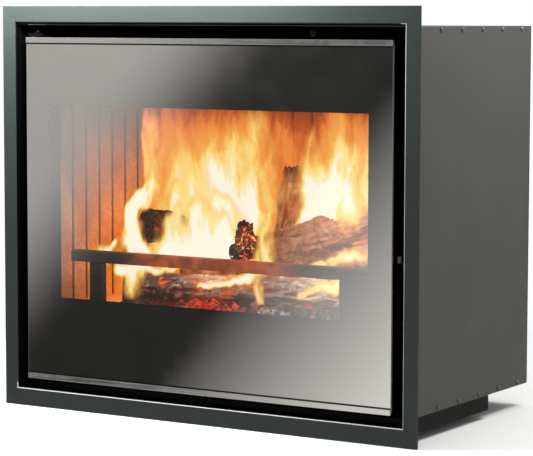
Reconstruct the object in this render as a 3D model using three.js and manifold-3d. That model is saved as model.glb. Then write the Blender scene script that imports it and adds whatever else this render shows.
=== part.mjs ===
// Built-in fireplace insert: a sheet-steel casing on a low plinth, a mitred surround, a glazed
// side-hung door, and a fire chamber lined with fluted firebrick panels.
//
// Millimetres. X runs to the right, Y back from the surround's front face, Z up from the plinth's
// underside. The finished group is moved so that its origin is the centre of that underside.

import * as THREE from 'three';
import { mergeVertices } from 'three/addons/utils/BufferGeometryUtils.js';
import Module from 'manifold-3d';

const wasm = await Module();
wasm.setup();

// ---------------------------------------------------------------- driving dimensions

const GAP = 0.3; // clearance between pieces that rest on, or pass through, each other
const LAP = 1; // how far joined solids run into each other, and cutting tools past what they cut

// plinth
const PLINTH_HEIGHT = 22;
const PLINTH_FRONT = 32;
const PLINTH_DEPTH = 240;
const PLINTH_CHANNEL = 20;
const PLINTH_SHEET = 2;

// casing
const CASING_WIDTH = 650;
const CASING_HEIGHT = 536;
const CASING_FRONT = 8;
const CASING_BACK = 404;
const CASING_SHEET = 2;
const CASING_FLANGE = 14;
const FLANGE_FRONT_SETBACK = 20;
const FLANGE_BACK_SETBACK = 5;

// casing screws
const SCREW_COUNT = 5;
const SCREW_FIRST = 111;
const SCREW_BACK_EDGE = 30.7;
const SCREW_EDGE = 5;
const NUT_STRIP_END = 16;
const SCREW_SHANK_R = 1.7;
const SCREW_HEAD_R = 4;
const SCREW_CROWN_R = 2.8;
const SCREW_HEAD_HEIGHT = 1.8;
const NUT_STRIP_HEIGHT = 8;

// surround
const SLEEVE_STEP = 2.4;
const BAR_SIDE = 22.6;
const BAR_TOP = 24.6;
const BAR_BOTTOM = 26.2;
const BAR_THICKNESS = 4;
const BAR_BEVEL = 1.5;
const SLEEVE_WALL = 2;
const SLEEVE_DEPTH = 30;
const SURROUND_GAP_TOP = 3;
const SURROUND_GAP_BOTTOM = 7.8;

// door
const DOOR_GAP_SIDE = 19;
const DOOR_GAP_TOP = 21.4;
const DOOR_GAP_BOTTOM = 16.1;
const DOOR_FRONT = 1;
const RAIL_LIP = 1;
const RAIL_WEB = 2;
const RAIL_HEIGHT = 8;
const RAIL_DEPTH = 8;
const GLASS_THICKNESS = 4;
const STILE_WIDTH = 25;
const STILE_DEPTH = 17.4;
const STILE_INSET = 3.4;
const MEMBER_HEIGHT = 25;
const MEMBER_REVEAL_TOP = 5;
const MEMBER_REVEAL_BOTTOM = 6;
const SEAL_SIZE = 9.4;
const SEAL_CHAMFER = 2.4;

// hinge
const PIVOT_INSET = 10.4;
const PIVOT_SETBACK = 6;
const HINGE_PIN_R = 3.5;
const HINGE_PIN_REACH = 20;
const HINGE_COLLAR_R = 6.5;
const HINGE_PLATE = 4;
const HINGE_HALF_WIDTH = 13;
const HINGE_REACH = 24;
const HINGE_FOOT = 2;
const HINGE_FOOT_SIDE = 2;
const HINGE_HEADROOM = 1;
const HINGE_RUN = 1.5;

// catch
const CATCH_HEIGHT = 232;
const CATCH_PLATE = 3;
const CATCH_ROLLER_R = 5.7;
const CATCH_ROLLER_HEIGHT = 9;
const CATCH_STUD_R = 2;
const CATCH_ARM = 10;
const CATCH_OFFSET = 2;
const CATCH_FOOT_DROP = 20;
const CATCH_FOOT = 2;
const CATCH_PLATE_SETBACK = 5;
const STRIKER_DEPTH = 10;

// fire chamber
const MOUTH_WIDTH = 544;
const MOUTH_BOTTOM = 146;
const MOUTH_TOP = 450;
const FACE_SHEET = 3;
const FACE_HEADROOM = 1;
const INTAKE_SLOT = 18;
const CHAMBER_AIR_GAP = 20.3;
const LINING_THICKNESS = 19.4;
const LINING_RISE = 1;
const CHAMBER_SHEET = 3;
const CHAMBER_FLOOR = 112;
const CHAMBER_DEPTH = 295.4;
const HEARTH_THICKNESS = 22.7;
const BAFFLE_THICKNESS = 18;
const BAFFLE_THROAT = 52;
const SMOKE_SPACE = 9;

// flutes of the lining
const FLUTE_FIRST = 45;
const FLUTE_PITCH = 34.4;
const FLUTE_WIDTH = 7;
const FLUTE_DEPTH = 5;

// flue collar
const FLUE_BORE_R = 76;
const FLUE_WALL = 2.5;
const FLUE_FLANGE = 17;
const FLUE_SET_BACK = 210;
const FLUE_RISE = 25;

// log guard
const GUARD_LENGTH = 516;
const GUARD_BAR_HEIGHT = 17;
const GUARD_BAR_DEPTH = 16;
const GUARD_CENTRE = 50;
const GUARD_LEG_HEIGHT = 67;
const GUARD_LEG_WIDTH = 22;
const GUARD_LEG_DEPTH = 12;
const GUARD_LEG_SPACING = 428;

// air controls
const AIR_SLOT_WIDTH = 30;
const AIR_SLOT_HEIGHT = 12;
const AIR_SLOT_COUNT = 3;
const AIR_SLOT_LEVEL = 65;
const SHUTTER_SHEET = 2;
const SHUTTER_HEIGHT = 38;
const SHUTTER_MARGIN = 25;
const SHUTTER_TONGUE = 3.5;
const SHUTTER_NECK = 10;
const AIR_GUIDE_CLEARANCE = 1.5;
const AIR_GUIDE_FOOT = 25;
const AIR_GUIDE_HEIGHT = 8;
const TONGUE_FRONT = 9;
const WASH_SLOT_WIDTH = 80;
const WASH_SLOT_DEPTH = 10;
const WASH_SLOT_PITCH = 120;
const WASH_SLOT_SETBACK = 8;
const WASH_PLATE_DEPTH = 20;
const WASH_TRAVEL = 30;
const WASH_ROD_R = 3;
const WASH_ROD_X = 180;
const WASH_KNOB_R = 5;
const WASH_KNOB_LENGTH = 9;
const WASH_KNOB_FRONT = 8;

// convection fan
const FAN_SIZE = 76;
const FAN_DEPTH = 25;
const FAN_BORE_R = 34;
const FAN_HUB_R = 14;
const FAN_BLADES = 7;
const FAN_STRUT = 4;
const FAN_FRONT = 300;
const BLADE_THICKNESS = 2;
const BLADE_CHORD = 13;
const BLADE_PITCH = 35;

// cable gland
const GLAND_R = 6;
const GLAND_FLANGE_R = 10;
const GLAND_LENGTH = 13;
const GLAND_X = 260;
const GLAND_Z = 60;

// fuel: radii and places across are given for a log's left or front end, then for its other end
const LOG_SIDES = 14;
const LOG_RINGS = 6;
const LOG_WAVER = 0.05;
const LOG_WAVE = 60;
const LOG_FLAT = 4;
const LOG_NOTCH = 5;
const LOG_FRONT_R = [28, 34];
const LOG_FRONT_X = [-170, 200];
const LOG_GUARD_GAP = 18;
const LOG_BACK_R = [40, 56];
const LOG_BACK_X = [-178, 212];
const LOG_LINING_GAP = 15;
const LOG_STUB_R = 22;
const LOG_STUB_X = -206;
const LOG_STUB_SETBACK = 33;
const LOG_STUB_HEIGHT = 94;
const LOG_TOP_R = [28, 26];
const LOG_TOP_BEARINGS = [-178, -132];
const LOG_TOP_OVERHANG = [8, 24];
const LOG_RIGHT_R = [27, 30];
const LOG_RIGHT_BEARINGS = [6, 108];
const LOG_RIGHT_OVERHANG = [12, 52];
const LOG_UPRIGHT_R = [25, 23];
const LOG_UPRIGHT_X = [-8, -12];
const LOG_UPRIGHT_RISE = 118;

// ---------------------------------------------------------------- places worked out from them

const casingX = CASING_WIDTH / 2;
const casingInnerX = casingX - CASING_SHEET;
const casingBottom = PLINTH_HEIGHT;
const casingTop = casingBottom + CASING_HEIGHT;
const casingPanelBack = CASING_BACK - CASING_SHEET - GAP;

const barInnerX = casingX + SLEEVE_STEP;
const barOuterX = barInnerX + BAR_SIDE;
const barInnerTop = casingTop + SURROUND_GAP_TOP;
const barOuterTop = barInnerTop + BAR_TOP;
const barInnerBottom = casingBottom - SURROUND_GAP_BOTTOM;
const barOuterBottom = barInnerBottom - BAR_BOTTOM;

const doorX = barInnerX - DOOR_GAP_SIDE;
const doorTop = barInnerTop - DOOR_GAP_TOP;
const doorBottom = barInnerBottom + DOOR_GAP_BOTTOM;
const glassFront = DOOR_FRONT + RAIL_LIP + GAP;
const stileFront = glassFront + GLASS_THICKNESS + GAP;
const stileBack = stileFront + STILE_DEPTH;
const stileOuterX = doorX - STILE_INSET;
const stileInnerX = stileOuterX - STILE_WIDTH;
const stileBottom = doorBottom + RAIL_WEB + GAP;
const stileTop = doorTop - RAIL_WEB - GAP;
const sealFront = stileBack + GAP;
const faceFront = sealFront + SEAL_SIZE + GAP;
const faceBack = faceFront + FACE_SHEET;
const pivotX = -(doorX - PIVOT_INSET);
const pivotY = stileBack - PIVOT_SETBACK;

const mouthX = MOUTH_WIDTH / 2;
const memberUpperBottom = MOUTH_TOP + MEMBER_REVEAL_TOP;
const memberLowerTop = MOUTH_BOTTOM - MEMBER_REVEAL_BOTTOM;
const chamberX = casingInnerX - CHAMBER_AIR_GAP - CHAMBER_SHEET;
const liningX = chamberX - GAP - LINING_THICKNESS;
const chamberFront = faceBack + GAP;
const chamberBack = chamberFront + CHAMBER_DEPTH;
const chamberFloorTop = CHAMBER_FLOOR + CHAMBER_SHEET;
const hearthTop = chamberFloorTop + GAP + HEARTH_THICKNESS;
const liningBottom = hearthTop + GAP;
const liningTop = MOUTH_TOP + LINING_RISE;
const baffleTop = liningTop + GAP + BAFFLE_THICKNESS;
const chamberTop = baffleTop + SMOKE_SPACE;
const chamberRoof = chamberTop + CHAMBER_SHEET;
const backLiningFront = chamberBack - GAP - LINING_THICKNESS;

// ---------------------------------------------------------------- shape helpers

const AXES = {
  x: new THREE.Matrix4().makeBasis(
    new THREE.Vector3(0, 1, 0), new THREE.Vector3(0, 0, 1), new THREE.Vector3(1, 0, 0)),
  y: new THREE.Matrix4().makeBasis(
    new THREE.Vector3(0, 0, 1), new THREE.Vector3(1, 0, 0), new THREE.Vector3(0, 1, 0)),
  z: new THREE.Matrix4(),
};

// A closed outline pushed along one axis, from lo to hi. The outline's points are (y, z) along X,
// (x, z) along Y and (x, y) along Z.
function prism(axis, outline, lo, hi) {
  const points = outline.map(([a, b]) => (axis === 'y' ? [b, a] : [a, b]));
  const shape = new THREE.Shape(points.map(([a, b]) => new THREE.Vector2(a, b)));
  const geometry = new THREE.ExtrudeGeometry(shape, { depth: hi - lo, bevelEnabled: false });
  return geometry.translate(0, 0, lo).applyMatrix4(AXES[axis]);
}

function block([x0, x1], [y0, y1], [z0, z1]) {
  const geometry = new THREE.BoxGeometry(x1 - x0, y1 - y0, z1 - z0);
  return geometry.translate((x0 + x1) / 2, (y0 + y1) / 2, (z0 + z1) / 2);
}

// A round bar along one axis, centred on (a, b) in the outline coordinates of prism().
function rod(axis, [a, b], radius, lo, hi, sides = 16) {
  const outline = [];
  for (let i = 0; i < sides; i += 1) {
    const angle = (2 * Math.PI * (i + 0.5)) / sides;
    outline.push([a + radius * Math.cos(angle), b + radius * Math.sin(angle)]);
  }
  return prism(axis, outline, lo, hi);
}

function toSolid(geometry) {
  const bare = geometry.clone();
  bare.deleteAttribute('normal');
  bare.deleteAttribute('uv');
  const merged = mergeVertices(bare, 1e-4);
  return new wasm.Manifold(new wasm.Mesh({
    numProp: 3,
    vertProperties: new Float32Array(merged.attributes.position.array),
    triVerts: new Uint32Array(merged.index.array),
  }));
}

function toGeometry(solid) {
  const mesh = solid.getMesh();
  const geometry = new THREE.BufferGeometry();
  geometry.setAttribute('position', new THREE.BufferAttribute(mesh.vertProperties, 3));
  geometry.setIndex(new THREE.BufferAttribute(mesh.triVerts, 1));
  geometry.computeVertexNormals();
  return geometry;
}

function join(...geometries) {
  return toGeometry(geometries.map(toSolid).reduce((whole, next) => whole.add(next)));
}

function cut(geometry, ...tools) {
  const start = toSolid(geometry);
  return toGeometry(tools.map(toSolid).reduce((whole, tool) => whole.subtract(tool), start));
}

function common(geometry, other) {
  return toGeometry(toSolid(geometry).intersect(toSolid(other)));
}

// The same outline points on the other side of the part.
function mirrored(side, [lo, hi]) {
  return side > 0 ? [lo, hi] : [-hi, -lo];
}

// ---------------------------------------------------------------- finishes

const FINISHES = {
  surround: { color: 0x47504e, roughness: 0.42, metalness: 0.35 },
  casing: { color: 0x63655f, roughness: 0.55, metalness: 0.25 },
  plinth: { color: 0x3a423c, roughness: 0.6, metalness: 0.25 },
  black_steel: { color: 0x17181a, roughness: 0.7, metalness: 0.3 },
  rail: { color: 0xa9aaa8, roughness: 0.35, metalness: 0.8 },
  glass: { color: 0x6f6b66, roughness: 0.05, metalness: 0.1, transparent: true, opacity: 0.45 },
  zinc: { color: 0x9a9c9b, roughness: 0.4, metalness: 0.85 },
  rope: { color: 0x2b2a28, roughness: 0.95, metalness: 0 },
  firebrick: { color: 0xc98a5b, roughness: 0.9, metalness: 0 },
  cast_iron: { color: 0x3a403d, roughness: 0.75, metalness: 0.4 },
  plastic: { color: 0x161616, roughness: 0.5, metalness: 0 },
  bark: { color: 0x4a2f1e, roughness: 0.95, metalness: 0 },
};

const insert = new THREE.Group();

function piece(name, finish, geometry, parent = insert) {
  const mesh = new THREE.Mesh(geometry, new THREE.MeshStandardMaterial(FINISHES[finish]));
  mesh.name = name;
  parent.add(mesh);
  return mesh;
}

// ---------------------------------------------------------------- surround

// Outline of a bar's section, as (distance out from the middle, depth): a flange with a bevelled
// inner edge, and a sleeve that runs back over the casing.
function barSection(inner, outer, sleeveInner) {
  return [
    [inner + BAR_BEVEL, 0],
    [outer, 0],
    [outer, BAR_THICKNESS],
    [inner + SLEEVE_WALL, BAR_THICKNESS],
    [inner + SLEEVE_WALL, SLEEVE_DEPTH],
    [sleeveInner, SLEEVE_DEPTH],
    [sleeveInner, BAR_BEVEL + SLEEVE_STEP / 2],
    [inner, BAR_BEVEL + SLEEVE_STEP / 2],
    [inner, BAR_BEVEL],
  ];
}

// The part of the frame's face, seen from the front, that belongs to one bar: between the two
// mitre lines, which run on past both corners and are moved along the bar by half a clearance.
function mitreRegion([innerA, outerA], [innerB, outerB], shift) {
  const stretch = ([ix, iz], [ox, oz], sign) => {
    const move = shift.map((value) => (value * sign * GAP) / 2);
    const near = [ix - (ox - ix) + move[0], iz - (oz - iz) + move[1]];
    const far = [ox + (ox - ix) + move[0], oz + (oz - iz) + move[1]];
    return [near, far];
  };
  const [nearA, farA] = stretch(innerA, outerA, 1);
  const [nearB, farB] = stretch(innerB, outerB, -1);
  return prism('y', [nearA, farA, farB, nearB], -LAP, SLEEVE_DEPTH + LAP);
}

function addSurround() {
  const corners = {
    topLeft: [[-barInnerX, barInnerTop], [-barOuterX, barOuterTop]],
    topRight: [[barInnerX, barInnerTop], [barOuterX, barOuterTop]],
    bottomRight: [[barInnerX, barInnerBottom], [barOuterX, barOuterBottom]],
    bottomLeft: [[-barInnerX, barInnerBottom], [-barOuterX, barOuterBottom]],
  };
  const upright = barSection(barInnerX, barOuterX, casingX + GAP);
  const top = barSection(barInnerTop, barOuterTop, casingTop + GAP)
    .map(([out, depth]) => [depth, out]);
  const bottom = barSection(-barInnerBottom, -barOuterBottom, -barInnerBottom)
    .map(([out, depth]) => [depth, -out]);

  for (const [name, side, a, b] of [
    ['surround_left', -1, corners.bottomLeft, corners.topLeft],
    ['surround_right', 1, corners.bottomRight, corners.topRight],
  ]) {
    const outline = upright.map(([out, depth]) => [side * out, depth]);
    const bar = prism('z', outline, barOuterBottom, barOuterTop);
    piece(name, 'surround', common(bar, mitreRegion(a, b, [0, 1])));
  }
  for (const [name, outline, a, b] of [
    ['surround_top', top, corners.topLeft, corners.topRight],
    ['surround_bottom', bottom, corners.bottomLeft, corners.bottomRight],
  ]) {
    const bar = prism('x', outline, -barOuterX, barOuterX);
    piece(name, 'surround', common(bar, mitreRegion(a, b, [1, 0])));
  }
}

// ---------------------------------------------------------------- casing and plinth

const flangeFront = faceBack + FLANGE_FRONT_SETBACK;
const flangeBack = casingPanelBack - FLANGE_BACK_SETBACK;
const flangeOuterX = casingInnerX - GAP;
const flangeInnerX = flangeOuterX - CASING_SHEET;
const screwTop = casingTop - SCREW_EDGE;
const screwBottom = casingBottom + SCREW_EDGE;
const screwLast = casingPanelBack - SCREW_BACK_EDGE;

function screwPlaces() {
  const pitch = (screwLast - SCREW_FIRST) / (SCREW_COUNT - 1);
  return Array.from({ length: SCREW_COUNT }, (_, i) => SCREW_FIRST + i * pitch);
}

// Clearance holes for one row of screws, through a side panel and the flange behind it.
function screwHoles(side, level) {
  const span = mirrored(side, [flangeInnerX - LAP, casingX + LAP]);
  return screwPlaces().map((y) => rod('x', [y, level], SCREW_SHANK_R + GAP, ...span, 8));
}

// A row of pan-head screws in their nut strip.
function screwRow(side, level, strip) {
  const stripInner = flangeInnerX - GAP - CASING_SHEET;
  const headInner = casingX + GAP;
  const headOuter = headInner + SCREW_HEAD_HEIGHT;
  const solids = [block(
    mirrored(side, [stripInner, flangeInnerX - GAP]),
    [SCREW_FIRST - NUT_STRIP_END, screwLast + NUT_STRIP_END],
    strip)];
  for (const y of screwPlaces()) {
    const shank = mirrored(side, [stripInner + CASING_SHEET / 2, headInner + SCREW_HEAD_HEIGHT / 2]);
    const head = new THREE.CylinderGeometry(SCREW_CROWN_R, SCREW_HEAD_R, SCREW_HEAD_HEIGHT, 12);
    head.rotateZ((-side * Math.PI) / 2).translate((side * (headInner + headOuter)) / 2, y, level);
    solids.push(rod('x', [y, level], SCREW_SHANK_R, ...shank, 8), head);
  }
  return join(...solids);
}

function addCasing() {
  for (const [name, side] of [['left', -1], ['right', 1]]) {
    const panel = block(
      mirrored(side, [casingInnerX, casingX]),
      [CASING_FRONT, casingPanelBack],
      [casingBottom, casingTop]);
    piece(`casing_side_${name}`, 'casing',
      cut(panel, ...screwHoles(side, screwTop), ...screwHoles(side, screwBottom)));
    const topStrip = casingTop - CASING_SHEET - GAP;
    const bottomStrip = casingBottom + CASING_SHEET + GAP;
    piece(`screws_top_${name}`, 'zinc',
      screwRow(side, screwTop, [topStrip - NUT_STRIP_HEIGHT, topStrip]));
    piece(`screws_bottom_${name}`, 'zinc',
      screwRow(side, screwBottom, [bottomStrip, bottomStrip + NUT_STRIP_HEIGHT]));
  }

  const topPlate = [casingTop - CASING_SHEET, casingTop];
  const floorPlate = [casingBottom, casingBottom + CASING_SHEET];
  const plateX = [-flangeOuterX, flangeOuterX];
  const flanges = (levels) => [-1, 1].map((side) => block(
    mirrored(side, [flangeInnerX, flangeOuterX]), [flangeFront, flangeBack], levels));
  const top = join(
    block(plateX, [CASING_FRONT, casingPanelBack], topPlate),
    ...flanges([casingTop - CASING_FLANGE, casingTop]));
  const flueHole = rod(
    'z', [0, FLUE_SET_BACK], FLUE_BORE_R + FLUE_WALL + GAP, casingTop - CASING_FLANGE, casingTop + LAP, 40);
  piece('casing_top', 'casing',
    cut(top, flueHole, ...screwHoles(-1, screwTop), ...screwHoles(1, screwTop)));
  const floor = join(
    block(plateX, [chamberFront, casingPanelBack], floorPlate),
    ...flanges([casingBottom, casingBottom + CASING_FLANGE]));
  piece('casing_floor', 'casing',
    cut(floor, ...screwHoles(-1, screwBottom), ...screwHoles(1, screwBottom)));

  const backFace = CASING_BACK - CASING_SHEET;
  const back = block([-casingX, casingX], [backFace, CASING_BACK], [casingBottom, casingTop]);
  piece('casing_back', 'casing',
    cut(back, rod('y', [GLAND_X, GLAND_Z], GLAND_R + GAP, backFace - LAP, CASING_BACK + LAP)));
}

// A channel's outline as (distance in from the outside, height), open to the inside.
function channel(height) {
  return [
    [0, 0], [PLINTH_CHANNEL, 0], [PLINTH_CHANNEL, PLINTH_SHEET], [PLINTH_SHEET, PLINTH_SHEET],
    [PLINTH_SHEET, height - PLINTH_SHEET], [PLINTH_CHANNEL, height - PLINTH_SHEET],
    [PLINTH_CHANNEL, height], [0, height],
  ];
}

function addPlinth() {
  const back = PLINTH_FRONT + PLINTH_DEPTH;
  const outline = channel(PLINTH_HEIGHT - GAP);
  for (const [name, side] of [['left', -1], ['right', 1]]) {
    const placed = outline.map(([inward, up]) => [side * (casingX - inward), up]);
    piece(`plinth_${name}`, 'plinth', prism('y', placed, PLINTH_FRONT, back));
  }
  const innerX = casingX - PLINTH_CHANNEL - GAP;
  const rear = outline.map(([inward, up]) => [back - inward, up]);
  piece('plinth_plate', 'plinth', join(
    prism('x', rear, -innerX, innerX),
    block([-innerX, innerX], [PLINTH_FRONT, back - PLINTH_CHANNEL + LAP], [0, PLINTH_SHEET])));
}

// ---------------------------------------------------------------- face plate and fire chamber

function airSlotPlaces() {
  const middle = (AIR_SLOT_COUNT - 1) / 2;
  return Array.from({ length: AIR_SLOT_COUNT }, (_, i) => (i - middle) * AIR_SLOT_WIDTH * 2);
}

// The primary-air slots, cut through whatever stands between the two depths.
function airSlots(front, back) {
  return airSlotPlaces().map((x) => block(
    [x - AIR_SLOT_WIDTH / 2, x + AIR_SLOT_WIDTH / 2],
    [front - LAP, back + LAP],
    [AIR_SLOT_LEVEL - AIR_SLOT_HEIGHT / 2, AIR_SLOT_LEVEL + AIR_SLOT_HEIGHT / 2]));
}

function addFace() {
  const depth = [faceFront, faceBack];
  const casingRoof = casingTop - CASING_SHEET - GAP;
  for (const [name, side] of [['left', -1], ['right', 1]]) {
    piece(`face_jamb_${name}`, 'black_steel',
      block(mirrored(side, [mouthX, casingInnerX - GAP]), depth, [casingBottom, casingRoof]));
  }
  const between = [-mouthX + GAP, mouthX - GAP];
  piece('face_header', 'black_steel', block(between, depth, [MOUTH_TOP, doorTop - FACE_HEADROOM]));
  const sill = block(between, depth, [casingBottom + CASING_SHEET + INTAKE_SLOT, MOUTH_BOTTOM]);
  piece('face_sill', 'black_steel', cut(sill, ...airSlots(faceFront, faceBack)));
}

function addChamber() {
  const outerX = chamberX + CHAMBER_SHEET;
  const outerBack = chamberBack + CHAMBER_SHEET;
  const walls = [chamberFloorTop + GAP, chamberTop - GAP];
  for (const [name, side] of [['left', -1], ['right', 1]]) {
    piece(`chamber_side_${name}`, 'black_steel',
      block(mirrored(side, [chamberX, outerX]), [chamberFront, chamberBack - GAP], walls));
  }
  piece('chamber_back', 'black_steel', block([-outerX, outerX], [chamberBack, outerBack], walls));
  piece('chamber_floor', 'black_steel',
    block([-outerX, outerX], [chamberFront, outerBack], [CHAMBER_FLOOR, chamberFloorTop]));

  const washSlots = [-1, 0, 1].map((i) => block(
    [i * WASH_SLOT_PITCH - WASH_SLOT_WIDTH / 2, i * WASH_SLOT_PITCH + WASH_SLOT_WIDTH / 2],
    [chamberFront + WASH_SLOT_SETBACK, chamberFront + WASH_SLOT_SETBACK + WASH_SLOT_DEPTH],
    [chamberTop - LAP, chamberRoof + LAP]));
  const throat = rod('z', [0, FLUE_SET_BACK], FLUE_BORE_R, chamberTop - LAP, chamberRoof + LAP, 40);
  const roof = block([-outerX, outerX], [chamberFront, outerBack], [chamberTop, chamberRoof]);
  piece('chamber_top', 'black_steel', cut(roof, throat, ...washSlots));

  const outerR = FLUE_BORE_R + FLUE_WALL;
  const seat = chamberRoof + GAP;
  const profile = [
    [FLUE_BORE_R, seat], [outerR + FLUE_FLANGE, seat], [outerR + FLUE_FLANGE, seat + CHAMBER_SHEET],
    [outerR, seat + CHAMBER_SHEET], [outerR, casingTop + FLUE_RISE], [FLUE_BORE_R, casingTop + FLUE_RISE],
    [FLUE_BORE_R, seat],
  ].map(([r, z]) => new THREE.Vector2(r, z));
  const collar = piece('flue_collar', 'black_steel', new THREE.LatheGeometry(profile, 40));
  collar.rotation.x = Math.PI / 2;
  collar.position.set(0, FLUE_SET_BACK, 0);
}

// Panel outline with vertical flutes in its inner face, as (along the wall, out from the wall).
function flutedOutline(from, to, first) {
  const points = [[to, -LINING_THICKNESS], [from, -LINING_THICKNESS], [from, 0]];
  for (let flute = first; flute < to - FLUTE_WIDTH; flute += FLUTE_PITCH) {
    points.push([flute - FLUTE_WIDTH / 2, 0]);
    points.push([flute - FLUTE_WIDTH / 5, -FLUTE_DEPTH]);
    points.push([flute + FLUTE_WIDTH / 5, -FLUTE_DEPTH]);
    points.push([flute + FLUTE_WIDTH / 2, 0]);
  }
  points.push([to, 0]);
  return points;
}

function addLining() {
  const front = chamberFront + GAP;
  const back = chamberBack - GAP;
  piece('hearth_slab', 'firebrick', block(
    [-chamberX + GAP, chamberX - GAP], [front, back], [chamberFloorTop + GAP, hearthTop]));
  for (const [name, side] of [['left', -1], ['right', 1]]) {
    const outline = flutedOutline(front, back, FLUTE_FIRST)
      .map(([along, out]) => [side * (liningX - out), along]);
    piece(`lining_${name}`, 'firebrick', prism('z', outline, liningBottom, liningTop));
  }
  const halfWidth = liningX - GAP;
  const flutes = Math.floor((halfWidth - FLUTE_WIDTH) / FLUTE_PITCH);
  const outline = flutedOutline(-halfWidth, halfWidth, -flutes * FLUTE_PITCH)
    .map(([along, out]) => [along, backLiningFront - out]);
  piece('lining_back', 'firebrick', prism('z', outline, liningBottom, liningTop));
  piece('baffle', 'firebrick', block(
    [-chamberX + GAP, chamberX - GAP],
    [front + BAFFLE_THROAT, back],
    [liningTop + GAP, baffleTop]));
}

function addLogGuard() {
  const legTop = liningBottom + GUARD_LEG_HEIGHT;
  const barBottom = legTop + GAP;
  const depth = (size) => [GUARD_CENTRE - size / 2, GUARD_CENTRE + size / 2];
  const half = GUARD_LENGTH / 2;
  piece('guard_bar', 'cast_iron',
    block([-half, half], depth(GUARD_BAR_DEPTH), [barBottom, barBottom + GUARD_BAR_HEIGHT]));
  for (const [name, side] of [['left', -1], ['right', 1]]) {
    const x = (side * GUARD_LEG_SPACING) / 2;
    piece(`guard_leg_${name}`, 'cast_iron', block(
      [x - GUARD_LEG_WIDTH / 2, x + GUARD_LEG_WIDTH / 2],
      depth(GUARD_LEG_DEPTH),
      [liningBottom, legTop]));
  }
}

// ---------------------------------------------------------------- door

function addDoor() {
  const railBack = DOOR_FRONT + RAIL_DEPTH;
  const rail = (edge, inward) => [
    [DOOR_FRONT, edge], [railBack, edge], [railBack, edge + inward * RAIL_WEB],
    [DOOR_FRONT + RAIL_LIP, edge + inward * RAIL_WEB], [DOOR_FRONT + RAIL_LIP, edge + inward * RAIL_HEIGHT],
    [DOOR_FRONT, edge + inward * RAIL_HEIGHT],
  ];
  piece('door_rail_top', 'rail', prism('x', rail(doorTop, -1), -doorX, doorX));
  piece('door_rail_bottom', 'rail', prism('x', rail(doorBottom, 1), -doorX, doorX));
  piece('door_glass', 'glass',
    block([-doorX, doorX], [glassFront, glassFront + GLASS_THICKNESS], [stileBottom, stileTop]));

  const depth = [stileFront, stileBack];
  const stile = (side) => block(
    mirrored(side, [stileInnerX, stileOuterX]), depth, [stileBottom, stileTop]);
  const pinR = HINGE_PIN_R + GAP;
  const pinReach = HINGE_PIN_REACH + LAP;
  piece('door_stile_left', 'black_steel', cut(stile(-1),
    rod('z', [pivotX, pivotY], pinR, stileBottom - LAP, stileBottom + pinReach),
    rod('z', [pivotX, pivotY], pinR, stileTop - pinReach, stileTop + LAP)));
  piece('door_stile_right', 'black_steel', stile(1));
  const between = [-stileInnerX + GAP, stileInnerX - GAP];
  piece('door_member_upper', 'black_steel',
    block(between, depth, [memberUpperBottom, memberUpperBottom + MEMBER_HEIGHT]));
  piece('door_member_lower', 'black_steel',
    block(between, depth, [memberLowerTop - MEMBER_HEIGHT, memberLowerTop]));
  addSeal();
}

// One length of rope with softened corners, laid as a ring between the door and the face plate.
function addSeal() {
  const half = SEAL_SIZE / 2;
  const flat = half - SEAL_CHAMFER;
  const section = [
    [half, -flat], [half, flat], [flat, half], [-flat, half],
    [-half, flat], [-half, -flat], [-flat, -half], [flat, -half],
  ];
  const sideX = (stileInnerX + stileOuterX) / 2;
  const lowerZ = memberLowerTop - MEMBER_HEIGHT / 2;
  const upperZ = memberUpperBottom + MEMBER_HEIGHT / 2;
  const corners = [
    [-sideX, lowerZ, -1, -1], [sideX, lowerZ, 1, -1], [sideX, upperZ, 1, 1], [-sideX, upperZ, -1, 1],
  ];
  const points = corners.flatMap(([x, z, right, up]) => section.map(
    ([out, deep]) => [x + right * out, sealFront + half + deep, z + up * out]));
  const index = [];
  for (let i = 0; i < points.length; i += 1) {
    const corner = i - (i % section.length);
    const beside = corner + ((i + 1) % section.length);
    const next = (point) => (point + section.length) % points.length;
    index.push(i, beside, next(beside), i, next(beside), next(i));
  }
  const ring = new THREE.BufferGeometry();
  ring.setAttribute('position', new THREE.Float32BufferAttribute(points.flat(), 3));
  ring.setIndex(index);
  ring.computeVertexNormals();
  piece('door_seal', 'rope', ring);
}

// Plate and foot fixed to the face plate, with the pin that the door turns on.
function addHinges() {
  const plateX = [pivotX - HINGE_HALF_WIDTH, pivotX + HINGE_HALF_WIDTH];
  const footX = [pivotX - HINGE_FOOT_SIDE, plateX[1] + HINGE_FOOT_SIDE];
  const back = faceFront - GAP;
  const depth = [back - HINGE_REACH, back];
  const pin = (radius, lo, hi) => rod('z', [pivotX, pivotY], radius, lo, hi);

  const lowerTop = doorBottom - HINGE_RUN;
  const lowerBottom = lowerTop - HINGE_PLATE;
  piece('hinge_lower', 'black_steel', join(
    block(plateX, depth, [lowerBottom, lowerTop]),
    block(footX, [back - HINGE_FOOT, back], [lowerBottom, lowerBottom + MEMBER_HEIGHT]),
    pin(HINGE_COLLAR_R, lowerTop - LAP, stileBottom - GAP),
    pin(HINGE_PIN_R, lowerTop - LAP, stileBottom + HINGE_PIN_REACH)));

  const upperBottom = doorTop + HINGE_RUN;
  const upperTop = upperBottom + HINGE_PLATE;
  const footTop = casingTop - CASING_SHEET - HINGE_HEADROOM;
  piece('hinge_upper', 'black_steel', join(
    block(plateX, depth, [upperBottom, upperTop]),
    block(footX, [back - HINGE_FOOT, back], [upperBottom, footTop]),
    pin(HINGE_COLLAR_R, upperTop - LAP, upperTop + HINGE_FOOT),
    pin(HINGE_PIN_R, stileTop - HINGE_PIN_REACH, upperTop)));
}

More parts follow.
